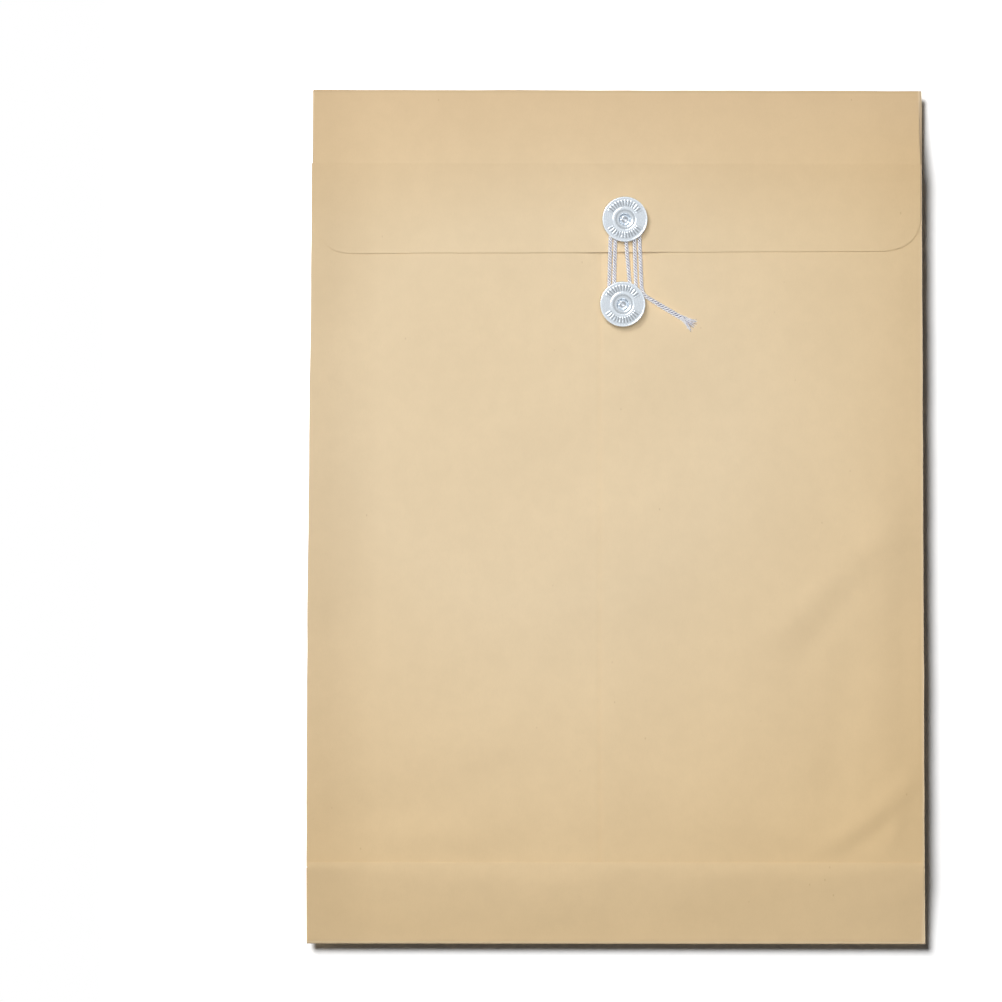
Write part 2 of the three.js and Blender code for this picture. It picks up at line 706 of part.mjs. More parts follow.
const ridge = foldGroup(bottomFold, 0, GUSSET_WIDTH, bottomFoldRadius);
ridge.rotation.x = -OPEN_ANGLE;
ridge.add(makeBackLeftPanel(), makeBackRightPanel());
const backPlies = seamStep + PLY;
addWasher(ridge, 'lower', lowerWasher.x, lowerWasher.y - ridgeY, backPlies, backPlies);

const topFold = foldGroup(envelope, 0, topFoldY, topFoldZ);
topFold.add(makeFlap());
addWasher(topFold, 'upper', upperWasher.x, upperWasher.y - topFoldY, flapOuterZ - topFoldZ, PLY);

envelope.add(makeTieString(), makeStringTail(), makeStringFray());

export default envelope;
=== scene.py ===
"""Dresses the CAD frame of a gusseted kraft envelope with a string and washer closure.

Every length in this file is in millimetres until a mesh is made, where it becomes metres.
The frame is the CAD one: the origin is the middle of the underside of the front panel, +Y
points to the top fold and +X to the right, seen from the flap side.
"""

import logging
import math
from collections.abc import Callable
from dataclasses import dataclass
from enum import Enum

import bpy
import numpy as np
from mathutils import Euler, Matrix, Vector


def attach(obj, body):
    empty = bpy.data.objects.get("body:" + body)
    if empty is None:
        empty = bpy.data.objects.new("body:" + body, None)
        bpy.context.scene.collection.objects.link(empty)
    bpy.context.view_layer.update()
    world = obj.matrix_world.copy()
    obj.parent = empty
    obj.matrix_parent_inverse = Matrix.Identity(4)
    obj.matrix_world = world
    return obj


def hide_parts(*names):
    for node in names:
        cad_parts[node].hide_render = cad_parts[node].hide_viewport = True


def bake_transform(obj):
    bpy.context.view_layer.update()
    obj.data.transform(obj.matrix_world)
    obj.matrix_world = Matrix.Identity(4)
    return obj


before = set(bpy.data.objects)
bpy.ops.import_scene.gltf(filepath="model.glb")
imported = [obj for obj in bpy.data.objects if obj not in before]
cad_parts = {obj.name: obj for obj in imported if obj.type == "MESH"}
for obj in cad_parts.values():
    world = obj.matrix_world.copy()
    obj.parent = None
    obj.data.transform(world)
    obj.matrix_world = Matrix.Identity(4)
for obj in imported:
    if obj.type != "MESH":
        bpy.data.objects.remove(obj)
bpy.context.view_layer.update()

LOG = logging.getLogger("envelope")
MM = 0.001
TURN = 2 * math.pi

Array = np.ndarray
Piece = bpy.types.Object
Material = bpy.types.Material
Socket = bpy.types.NodeSocket
Colour = tuple[float, float, float]
Triple = tuple[float, float, float]
Spot = tuple[float, float]
Faces = list[tuple[int, ...]]


class Side(Enum):
    """A side of the envelope, seen from the flap side."""

    LEFT = -1
    RIGHT = 1

    @property
    def label(self) -> str:
        """The word that the CAD nodes and bodies use for this side."""
        return self.name.lower()


class Lit(Enum):
    """What a lamp reaches."""

    EVERYTHING = "everything"
    FLOOR = "the floor only"
    ENVELOPE = "all but the floor"


class Ray(Enum):
    """The kinds of ray that see the plain backdrop instead of the lit stage."""

    CAMERA = "Is Camera Ray"
    GLOSSY = "Is Glossy Ray"
    TRANSMISSION = "Is Transmission Ray"


@dataclass(frozen=True)
class Blank:
    """The folded blank, with the sizes and fold angles of the CAD frame."""

    width: float = 240.0
    length: float = 332.0
    ply: float = 0.2
    gusset: float = 29.0
    flap_length: float = 63.8
    flap_crease: float = 29.0
    flap_inset: float = 0.8
    flap_corner: float = 14.0
    seam_overlap: float = 15.2
    opening: float = math.radians(8.5)
    leaf_fold: float = 0.15
    leaf_seat: float = 0.2
    leaf_setback: float = 2.5
    top_fold: float = 0.3
    glue: float = 0.05
    patch: float = 0.3
    rivet_head: float = 0.3
    head_clearance: float = 0.25
    lip: float = 2.25
    seam_shift: float = 1.7

    @property
    def half_width(self) -> float:
        """Half of the width of the panels."""
        return self.width / 2

    @property
    def half_length(self) -> float:
        """Half of the length of the panels."""
        return self.length / 2

    @property
    def leaf_width(self) -> float:
        """Width of one of the two leaves of a side gusset."""
        return self.gusset / 2

    @property
    def gusset_line(self) -> float:
        """How far from the middle the folded gusset's inner fold lies."""
        return self.half_width - self.leaf_width

    @property
    def leaf_pitch(self) -> float:
        """Distance between two plies that are folded back on each other."""
        return self.ply + 2 * self.leaf_fold

    @property
    def leaf_reach(self) -> float:
        """Outer radius of a gusset fold."""
        return self.leaf_fold + self.ply

    @property
    def lap(self) -> float:
        """How far the centre seam reaches to each side of the middle."""
        return self.seam_overlap / 2

    @property
    def lean(self) -> Spot:
        """Cosine and sine of the angle that the gussets and the bottom stand open at."""
        return math.cos(self.opening), math.sin(self.opening)

    @property
    def bottom_radius(self) -> float:
        """Inner radius of the bottom fold."""
        cosine = self.lean[0]
        stack = self.leaf_seat + self.leaf_fold + (self.leaf_pitch + self.leaf_reach) * cosine
        return stack / (1 + cosine)

    @property
    def bottom_y(self) -> float:
        """Place of the bottom fold's axis along Y."""
        return -self.half_length + self.bottom_radius + self.ply

    @property
    def bottom_z(self) -> float:
        """Height of the bottom fold's axis."""
        return self.ply + self.bottom_radius

    def on_bottom(self, along: Array | float, rise: Array | float) -> tuple:
        """The (y, z) of places along the bottom, at a distance out from its fold's axis."""
        cosine, sine = self.lean
        y = self.bottom_y + along * cosine - rise * sine
        return y, self.bottom_z + along * sine + rise * cosine

    @property
    def ridge_y(self) -> float:
        """Where the band under the bottom ends and the back panel starts."""
        return self.on_bottom(self.gusset, self.bottom_radius)[0]

    @property
    def ridge_z(self) -> float:
        """Height of the back panel's inner face."""
        return self.on_bottom(self.gusset, self.bottom_radius)[1]

    @property
    def seam_step(self) -> float:
        """Height by which the upper ply of the centre seam lies over the lower one."""
        return self.ply + self.glue

    @property
    def back_outer_z(self) -> float:
        """Height of the outer face of the back panel at the seam."""
        return self.ridge_z + self.seam_step + self.ply

    @property
    def crease_y(self) -> float:
        """Place of the flap's crease, which is also the throat of the envelope."""
        return self.half_length - self.flap_crease

    @property
    def crease_z(self) -> float:
        """Height of the flap's inner face."""
        stack = self.glue + self.patch + self.rivet_head + self.head_clearance
        return self.back_outer_z + stack

    @property
    def flap_edge_y(self) -> float:
        """Place of the flap's free edge."""
        return self.half_length - self.flap_length

    @property
    def top_axis(self) -> Spot:
        """The (y, z) of the top fold's axis."""
        return self.half_length, self.ply + self.top_fold


def smooth(value: Array, low: float, high: float) -> Array:
    """Rises smoothly from 0 where a value is low to 1 where it is high."""
    share = np.clip((value - low) / (high - low), 0.0, 1.0)
    return share * share * (3 - 2 * share)


def bend(start: Array, knee: Array, end: Array, share: Array | float) -> Array:
    """Places on the curve that leaves start towards knee and reaches end."""
    return start * (1 - share) ** 2 + 2 * knee * share * (1 - share) + end * share ** 2


def along_line(line: Array) -> Array:
    """How far each point of a line is from its start, measured along it."""
    return np.concatenate([[0], np.cumsum(np.linalg.norm(np.diff(line, axis=0), axis=1))])


def directions(line: Array) -> tuple[Array, Array]:
    """The unit directions to the right of a line and up from it, at each of its points."""
    ahead = np.gradient(line, axis=0)
    ahead /= np.linalg.norm(ahead, axis=1, keepdims=True)
    aside = np.cross(ahead, np.array([0.0, 0.0, 1.0]))
    aside /= np.linalg.norm(aside, axis=1, keepdims=True)
    return aside, np.cross(aside, ahead)


def graded(low: float, high: float, step: float, fine: tuple[Triple, ...] = ()) -> Array:
    """Places from low to high that are closer together round some lines.

    Args:
        low: The first place.
        high: The last place.
        step: The usual distance between places.
        fine: The (centre, reach, step) of each stretch that needs more places.

    Returns:
        The places in order.
    """
    nearest = 0.04
    places = list(np.linspace(low, high, max(2, round((high - low) / step) + 1)))
    for centre, reach, small in fine:
        start, end = max(low, centre - reach), min(high, centre + reach)
        if end > start:
            places = [place for place in places if place < start or place > end]
            places += list(np.linspace(start, end, max(2, round((end - start) / small) + 1)))
    places = sorted(set([low, high] + places))
    kept = [places[0]]
    for place in places[1:]:
        if place - kept[-1] > nearest:
            kept.append(place)
    kept[-1] = high
    return np.array(kept)


@dataclass(frozen=True)
class Ripple:
    """One soft crease that was pressed into the paper between two points in (x, y).

    width is its half width. height is how far the paper stands up, or down where it is negative.
    """

    start: Spot
    end: Spot
    width: float
    height: float

    def lift(self, x: Array, y: Array) -> Array:
        """How far this crease lifts the paper at places along X and Y."""
        reach = math.hypot(self.end[0] - self.start[0], self.end[1] - self.start[1])
        ahead = ((self.end[0] - self.start[0]) / reach, (self.end[1] - self.start[1]) / reach)
        along = (x - self.start[0]) * ahead[0] + (y - self.start[1]) * ahead[1]
        aside = (y - self.start[1]) * ahead[0] - (x - self.start[0]) * ahead[1]
        beyond = along - np.clip(along, 0, reach)
        return self.height * np.exp(-(aside ** 2 + beyond ** 2) / self.width ** 2)


@dataclass(frozen=True)
class Cockle:
    """The slow waves of paper that has taken up some damp, from a seeded sum of sines."""

    seed: int
    waves: int = 18
    shortest: float = 34.0
    longest: float = 120.0
    height: float = 0.3

    def lift(self, x: Array, y: Array) -> Array:
        """How far the waves lift the paper at places along X and Y."""
        random = np.random.default_rng(self.seed)
        total = np.zeros(np.broadcast(x, y).shape)
        for length in np.geomspace(self.shortest, self.longest, self.waves):
            heading = random.uniform(0, math.pi)
            phase = random.uniform(0, TURN)
            along = x * math.cos(heading) + y * math.sin(heading)
            total += length / self.longest * np.sin(TURN * along / length + phase)
        return self.height * total / math.sqrt(self.waves)


class MeshBuilder:
    """Makes Blender objects from points in millimetres."""

    @staticmethod
    def build(name: str, points: Array, faces: Faces, crisp: float = 40.0) -> Piece:
        """Makes a smooth-shaded object whose sharp edges stay crisp.

        Args:
            name: Name of the object.
            points: The vertices, in millimetres.
            faces: The corners of each face.
            crisp: Edges that turn by more degrees than this stay sharp.

        Returns:
            The new object, linked to the scene.
        """
        mesh = bpy.data.meshes.new(name)
        mesh.from_pydata((points.reshape(-1, 3) * MM).tolist(), [], faces)
        mesh.update()
        mesh.shade_smooth()
        mesh.set_sharp_from_angle(angle=math.radians(crisp))
        piece = bpy.data.objects.new(name, mesh)
        bpy.context.collection.objects.link(piece)
        return piece

    @staticmethod
    def grid_faces(rows: int, columns: int, first: int = 0, closed: bool = False) -> Faces:
        """The quads of a grid of points that are stored row by row.

        Args:
            rows: Number of rows of points.
            columns: Number of points in a row.
            first: Index of the grid's first point.
            closed: Whether the last column joins the first.

        Returns:
            The corners of each quad.
        """
        faces = []
        for row in range(rows - 1):
            here, below = first + row * columns, first + (row + 1) * columns
            for column in range(columns if closed else columns - 1):
                after = (column + 1) % columns
                faces.append((here + column, here + after, below + after, below + column))
        return faces

    @classmethod
    def sheet(cls, name: str, middle: Array, thickness: float) -> Piece:
        """Makes a closed sheet of even thickness about its middle surface.

        Args:
            name: Name of the object.
            middle: Points of the middle surface, as rows by columns by 3.
            thickness: Thickness of the sheet.

        Returns:
            The new object.
        """
        normal = np.cross(np.gradient(middle, axis=1), np.gradient(middle, axis=0))
        normal /= np.linalg.norm(normal, axis=2, keepdims=True)
        rows, columns = middle.shape[:2]
        count = rows * columns
        faces = cls.grid_faces(rows, columns)
        faces += [face[::-1] for face in cls.grid_faces(rows, columns, count)]
        border = list(range(columns))
        border += [row * columns + columns - 1 for row in range(1, rows)]
        border += [(rows - 1) * columns + column for column in range(columns - 2, -1, -1)]
        border += [row * columns for row in range(rows - 2, 0, -1)]
        for here, after in zip(border, border[1:] + border[:1]):
            faces.append((after, here, here + count, after + count))
        out = normal * thickness / 2
        return cls.build(name, np.stack([middle + out, middle - out]), faces)

    @classmethod
    def lathe(
        cls, name: str, profile: Array, sides: int, shape: Callable, looped: bool, crisp: float
    ) -> Piece:
        """Turns a profile about the Z axis.

        Args:
            name: Name of the object.
            profile: The (radius, height) points.
            sides: Number of steps in a turn.
            shape: Takes the radii, the heights and the angles, and gives new radii and heights.
            looped: Whether the profile's last point joins its first.
            crisp: Edges that turn by more degrees than this stay sharp.

        Returns:
            The new object, about the origin.
        """
        turn = np.linspace(0, TURN, sides, endpoint=False)
        radius, height = (np.repeat(profile[:, axis, None], sides, axis=1) for axis in range(2))
        radius, height = shape(radius, height, turn)
        points = np.stack([radius * np.cos(turn), radius * np.sin(turn), height], axis=2)
        faces = cls.grid_faces(len(profile) + looped, sides, closed=True)
        faces = [tuple(corner % radius.size for corner in face) for face in faces]
        return cls.build(name, points, faces, crisp)

    @classmethod
    def tubes(cls, name: str, lines: list[Array], sizes: list[Array], sides: int) -> Piece:
        """Makes several closed tubes as one object.

        Args:
            name: Name of the object.
            lines: The centre line of each tube.
            sizes: For each tube, its half width and half height at each point.
            sides: Number of sides of a tube.

        Returns:
            The new object.
        """
        points: list[Array] = []
        faces: Faces = []
        first = 0
        turn = np.linspace(0, TURN, sides, endpoint=False)
        for line, size in zip(lines, sizes):
            aside, above = directions(line)
            ring = (
                line[:, None, :]
                + aside[:, None, :] * (size[:, :1] * np.cos(turn))[:, :, None]
                + above[:, None, :] * (size[:, 1:] * np.sin(turn))[:, :, None]
            )
            last = first + (len(line) - 1) * sides
            points.append(ring.reshape(-1, 3))
            faces += cls.grid_faces(len(line), sides, first, closed=True)
            faces.append(tuple(range(first + sides - 1, first - 1, -1)))
            faces.append(tuple(range(last, last + sides)))
            first = last + sides
        return cls.build(name, np.vstack(points), faces, crisp=70.0)


def dress(piece: Piece, materials: tuple[Material, ...], nodes: tuple[str, ...]) -> Piece:
    """Finishes a piece: its materials and the CAD nodes that it stands for.

    Args:
        piece: The piece.
        materials: Its materials.
        nodes: Names of the CAD nodes.

    Returns:
        The same piece.
    """
    for material in materials:
        piece.data.materials.append(material)
    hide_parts(*nodes)
    LOG.info("made %s", piece.name)
    return piece


@dataclass(frozen=True)
class Fade:
    """A change from one level to another between two distances from a line."""

    start: float
    end: float
    before: float
    after: float


class NodeGraph:
    """A material's node tree, built a node at a time."""

    def __init__(self, name: str) -> None:
        """Starts an empty material of that name."""
        self.material = bpy.data.materials.new(name)
        self.material.use_nodes = True
        self.tree = self.material.node_tree
        self.tree.nodes.clear()
        self.output = self.add("ShaderNodeOutputMaterial")

    def add(self, kind: str, **settings: object) -> bpy.types.Node:
        """Adds a node and sets its properties and sockets.

        Args:
            kind: Blender's name for the kind of node.
            **settings: Properties of the node, or sockets named with _ for a space.

        Returns:
            The new node.
        """
        node = self.tree.nodes.new(kind)
        for key, value in settings.items():
            if hasattr(node, key):
                setattr(node, key, value)
            else:
                node.inputs[key.replace("_", " ")].default_value = value
        return node

    def join(self, source: Socket, target: Socket) -> None:
        """Links one socket to another."""
        self.tree.links.new(source, target)

    def axes(self, kind: str = "ShaderNodeTexCoord", output: str = "Object") -> tuple[Socket, ...]:
        """The X, Y and Z of each place, in the piece's own coordinates unless told otherwise."""
        split = self.add("ShaderNodeSeparateXYZ")
        self.join(self.add(kind).outputs[output], split.inputs["Vector"])
        return tuple(split.outputs)

    def noise(self, scale: Triple, turn: float = 0.0, detail: float = 2.0, roughness: float = 0.5) -> Socket:
        """Noise about 0.5 in the piece's own coordinates.

        Args:
            scale: Repeats per metre along each axis.
            turn: Turn of the pattern about Z in degrees.
            detail: Number of octaves.
            roughness: How strong the finer octaves are.

        Returns:
            The noise socket.
        """
        texture = self.add("ShaderNodeTexNoise", Scale=1.0, Detail=detail, Roughness=roughness)
        self.join(self.place(scale, turn), texture.inputs["Vector"])
        return texture.outputs["Fac"]

    def place(self, scale: Triple, turn: float = 0.0) -> Socket:
        """The piece's own coordinates, turned about Z by some degrees and scaled."""
        turned = (0.0, 0.0, math.radians(turn))
        mapping = self.add("ShaderNodeMapping", Scale=scale, Rotation=turned)
        self.join(self.add("ShaderNodeTexCoord").outputs["Object"], mapping.inputs["Vector"])
        return mapping.outputs["Vector"]

    def remap(self, value: Socket, low: float, high: float, first: float, last: float) -> Socket:
        """Maps a value from the range low to high to the range first to last, clamped."""
        ends = {"From_Min": low, "From_Max": high, "To_Min": first, "To_Max": last}
        node = self.add("ShaderNodeMapRange", **ends)
        self.join(value, node.inputs["Value"])
        return node.outputs["Result"]

    def fade(self, value: Socket, line: float, fade: Fade) -> Socket:
        """The level of a fade where a length is near a line, both in millimetres."""
        low, high = (line + fade.start) * MM, (line + fade.end) * MM
        return self.remap(value, low, high, fade.before, fade.after)

    def calculate(self, operation: str, first: Socket, second: Socket | float = 0.0) -> Socket:
        """Works out one sum.

        Args:
            operation: Blender's name for the operation.
            first: The first value.
            second: The second value, a socket or a number.

        Returns:
            The result socket.
        """
        node = self.add("ShaderNodeMath", operation=operation)
        self.join(first, node.inputs[0])
        if isinstance(second, float):
            node.inputs[1].default_value = second
        else:
            self.join(second, node.inputs[1])
        return node.outputs["Value"]

    def product(self, first: Socket, *others: Socket) -> Socket:
        """Multiplies values."""
        for other in others:
            first = self.calculate("MULTIPLY", first, other)
        return first

    def from_spot(self, x: Socket, y: Socket, spot: Spot) -> tuple[Socket, Socket, Socket]:
        """The offsets along X and Y from a spot, and the distance from it."""
        across = self.calculate("SUBTRACT", x, spot[0] * MM)
        along = self.calculate("SUBTRACT", y, spot[1] * MM)
        squares = self.calculate("ADD", self.product(across, across), self.product(along, along))
        return across, along, self.calculate("SQRT", squares)

    def tint(self, share: Socket, base: Socket | Colour, other: Colour, blend: str = "MIX") -> Socket:
        """Mixes two colours.

        Args:
            share: How much of the other colour there is.
            base: The colour to start from.
            other: The colour to mix in.
            blend: Blender's name for the way of mixing.

        Returns:
            The mixed colour socket.
        """
        node = self.add("ShaderNodeMix", data_type="RGBA", blend_type=blend)
        colours = [socket for socket in node.inputs if socket.type == "RGBA"]
        factors = [socket for socket in node.inputs if socket.name == "Factor" and socket.type == "VALUE"]
        self.join(share, factors[0])
        if isinstance(base, tuple):
            colours[0].default_value = (*base, 1.0)
        else:
            self.join(base, colours[0])
        colours[1].default_value = (*other, 1.0)
        return next(socket for socket in node.outputs if socket.type == "RGBA")

    def bump(self, height: Socket, depth: float, below: Socket | None = None) -> Socket:
        """Turns a height from 0 to 1, for a depth in millimetres, into a normal over another."""
        node = self.add("ShaderNodeBump", Strength=1.0, Distance=depth * MM)
        self.join(height, node.inputs["Height"])
        if below is not None:
            self.join(below, node.inputs["Normal"])
        return node.outputs["Normal"]

    def finish(
        self, colour: Socket, normal: Socket, roughness: Socket | float, **settings: float
    ) -> Material:
        """Joins a surface shader to the output.

        Args:
            colour: The surface's colour.
            normal: Its normal.
            roughness: Its roughness, a socket or a number.
            **settings: Constants of the shader, with _ for a space.

        Returns:
            The finished material.
        """
        shader = self.add("ShaderNodeBsdfPrincipled", **settings)
        if isinstance(roughness, float):
            shader.inputs["Roughness"].default_value = roughness
        else:
            self.join(roughness, shader.inputs["Roughness"])
        self.join(colour, shader.inputs["Base Color"])
        self.join(normal, shader.inputs["Normal"])
        self.join(shader.outputs["BSDF"], self.output.inputs["Surface"])
        return self.material


def scaled(colour: Colour, *levels: float) -> Colour:
    """A colour with its channels multiplied, by one level or by one each, up to 1."""
    levels = levels if len(levels) > 1 else levels * 3
    return tuple(min(channel * level, 1.0) for channel, level in zip(colour, levels))


@dataclass(frozen=True)
class KraftFinish:
    """Smooth unbleached kraft: short fibres, cloudy formation and a few darker shives.

    Three tones multiply the colour as painted shade, and a lighter tone is mixed into it as a painted
    highlight with some wear. The fades say where: the shade grows darker and warmer away from the
    lit spot, less over the lip and up the flap; it lies along the two gussets behind the back panel
    and less at their ends, over the upper part and on the top fold; the highlight lies on the worn
    right and bottom edges.
    """

    name: str
    colour: Colour
    blank: Blank
    roughness: float = 0.72
    darker: float = 0.9
    shive: Colour = (0.62, 0.52, 0.42)
    # Tones of painted shade; the first is also riper and warmer.
    ripe_shade: Colour = (0.92, 0.845, 0.71)
    ply_and_fold_shade: Colour = (0.9, 0.89, 0.88)
    top_strip_shade: Colour = (0.9, 0.853, 0.805)
    # A lighter tone: painted highlight with some wear.
    worn_highlight: Colour = (0.93, 0.78, 0.58)
    # The most lit spot, round which there is no painted shade.
    lit_spot: Spot = (-30.0, 40.0)
    ripe_shade_spread: Fade = Fade(75.0, 205.0, 0.0, 1.0)
    over_lip: Fade = Fade(-0.35, 0.1, 0.8, 0.95)
    up_flap: Fade = Fade(-32.0, -5.0, 1.0, 0.45)
    left_gusset: Fade = Fade(-6.0, 13.0, 0.85, 0.0)
    right_gusset: Fade = Fade(-13.0, 4.0, 0.0, 0.5)
    gusset_ends: Fade = Fade(-50.0, 0.0, 1.0, 0.55)
    upper_part: Fade = Fade(-56.0, 0.0, 0.0, 1.0)
    top_fold: Fade = Fade(-0.6, 0.2, 0.0, 0.7)
    worn_highlight_side: Fade = Fade(-1.8, -1.1, 0.0, 0.42)
    worn_highlight_foot: Fade = Fade(0.5, 1.1, 0.25, 0.0)
    above_front: float = 0.3
    fibre_turns: Triple = (12.0, 74.0, 131.0)
    fibre_scale: Triple = (4200.0, 620.0, 2400.0)
    cloud_scale: Triple = (150.0, 150.0, 150.0)
    drift_scale: Triple = (24.0, 17.0, 24.0)
    cockle_scale: Triple = (70.0, 45.0, 70.0)
    shive_scale: Triple = (210.0, 120.0, 160.0)
    cockle_depth: float = 0.16
    cloud_depth: float = 0.02
    fibre_depth: float = 0.012

    def material(self) -> Material:
        """Builds the paper's material.

        Returns:
            The material.
        """
        graph = NodeGraph(self.name)
        darker = scaled(self.colour, self.darker)
        fibres = None
        for turn in self.fibre_turns:
            layer = graph.noise(self.fibre_scale, turn, detail=1.0)
            fibres = layer if fibres is None else graph.calculate("MAXIMUM", fibres, layer)
        clouds = graph.noise(self.cloud_scale, detail=3.0, roughness=0.6)
        drifts = graph.noise(self.drift_scale)
        layers = ((clouds, 0.35, 0.65, 0.245), (drifts, 0.3, 0.7, 0.3), (fibres, 0.55, 0.8, 0.3))
        colour = self.colour
        for layer, low, high, most in layers:
            colour = graph.tint(graph.remap(layer, low, high, 0.0, most), colour, darker)
        colour = graph.tint(self._shives(graph), colour, scaled(self.colour, *self.shive))
        colour = self._ripened_and_shaded(graph, colour)
        normal = graph.bump(graph.noise(self.cockle_scale, detail=1.0), self.cockle_depth)
        normal = graph.bump(clouds, self.cloud_depth, normal)
        normal = graph.bump(fibres, self.fibre_depth, normal)
        roughness = graph.remap(clouds, 0.3, 0.7, self.roughness - 0.05, self.roughness + 0.08)
        sheen = {"Sheen_Weight": 0.04, "Sheen_Roughness": 0.6}
        return graph.finish(colour, normal, roughness, Specular_IOR_Level=0.22, **sheen)

    def _ripened_and_shaded(self, graph: NodeGraph, colour: Socket) -> Socket:
        """Paints shade, darker and warmer away from a lit spot and darker over the gusset plies, the upper
        part and the top fold, and a highlight with some wear on the right and bottom edges.

        Args:
            graph: The material's nodes.
            colour: The paper's colour before that.

        Returns:
            The colour after it.
        """
        blank = self.blank
        side, end, line = blank.half_width, blank.half_length, blank.gusset_line
        across, along, height = graph.axes()
        # Painted shade, also riper and warmer, that grows away from the lit spot.
        ripe_shade_share = graph.product(
            graph.fade(graph.from_spot(across, along, self.lit_spot)[2], 0.0, self.ripe_shade_spread),
            graph.fade(along, blank.ridge_y + blank.lip, self.over_lip),
            graph.fade(along, end, self.up_flap),
        )
        colour = graph.tint(ripe_shade_share, colour, self.ripe_shade, blend="MULTIPLY")
        # Painted shade along the two gussets behind the back panel.
        left = graph.fade(across, -line, self.left_gusset)
        right = graph.fade(across, line, self.right_gusset)
        ends = graph.fade(graph.calculate("ABSOLUTE", along), end, self.gusset_ends)
        gusset_shade = graph.product(graph.calculate("MAXIMUM", left, right), ends)
        colour = graph.tint(gusset_shade, colour, self.ply_and_fold_shade, blend="MULTIPLY")
        # Painted shade over the upper part, away from the front panel.
        raised = graph.calculate("GREATER_THAN", height, self.above_front * MM)
        top = graph.product(graph.fade(along, end, self.upper_part), raised)
        colour = graph.tint(top, colour, self.top_strip_shade, blend="MULTIPLY")
        # Painted shade on the top fold.
        colour = graph.tint(graph.fade(along, end, self.top_fold), colour, self.ply_and_fold_shade, blend="MULTIPLY")
        # Painted highlight, with some wear, on the right and bottom edges.
        right_edge = graph.fade(across, side, self.worn_highlight_side)
        low_edge = graph.fade(along, -end, self.worn_highlight_foot)
        return graph.tint(graph.calculate("MAXIMUM", right_edge, low_edge), colour, self.worn_highlight)

    def _shives(self, graph: NodeGraph) -> Socket:
        """Scatters a few small darker bits of unbleached fibre.

        Args:
            graph: The material's nodes.

        Returns:
            How dark the bit is at each place.
        """
        turn, core, rim, kept_from, strength = 28.0, 0.03, 0.075, 0.84, 0.34
        cells = graph.add("ShaderNodeTexVoronoi", Scale=1.0, Randomness=1.0)
        graph.join(graph.place(self.shive_scale, turn), cells.inputs["Vector"])
        spot = graph.remap(cells.outputs["Distance"], core, rim, 1.0, 0.0)
        chance = graph.add("ShaderNodeSeparateColor")
        graph.join(cells.outputs["Color"], chance.inputs["Color"])
        kept = graph.calculate("GREATER_THAN", chance.outputs[0], kept_from)
        return graph.calculate("MULTIPLY", graph.product(spot, kept), strength)


@dataclass(frozen=True)
class CardFinish:
    """Grey-brown card with a coarse felt."""

    name: str
    colour: Colour
    darker: float = 0.7

    def material(self) -> Material:
        """Builds the card's material.

        Returns:
            The material.
        """
        graph = NodeGraph(self.name)
        felt = graph.noise((1500.0, 900.0, 1500.0), 40.0, detail=3.0)
        share = graph.remap(felt, 0.35, 0.7, 0.0, 0.5)
        colour = graph.tint(share, self.colour, scaled(self.colour, self.darker))
        return graph.finish(colour, graph.bump(felt, 0.03), 0.9, Specular_IOR_Level=0.2)


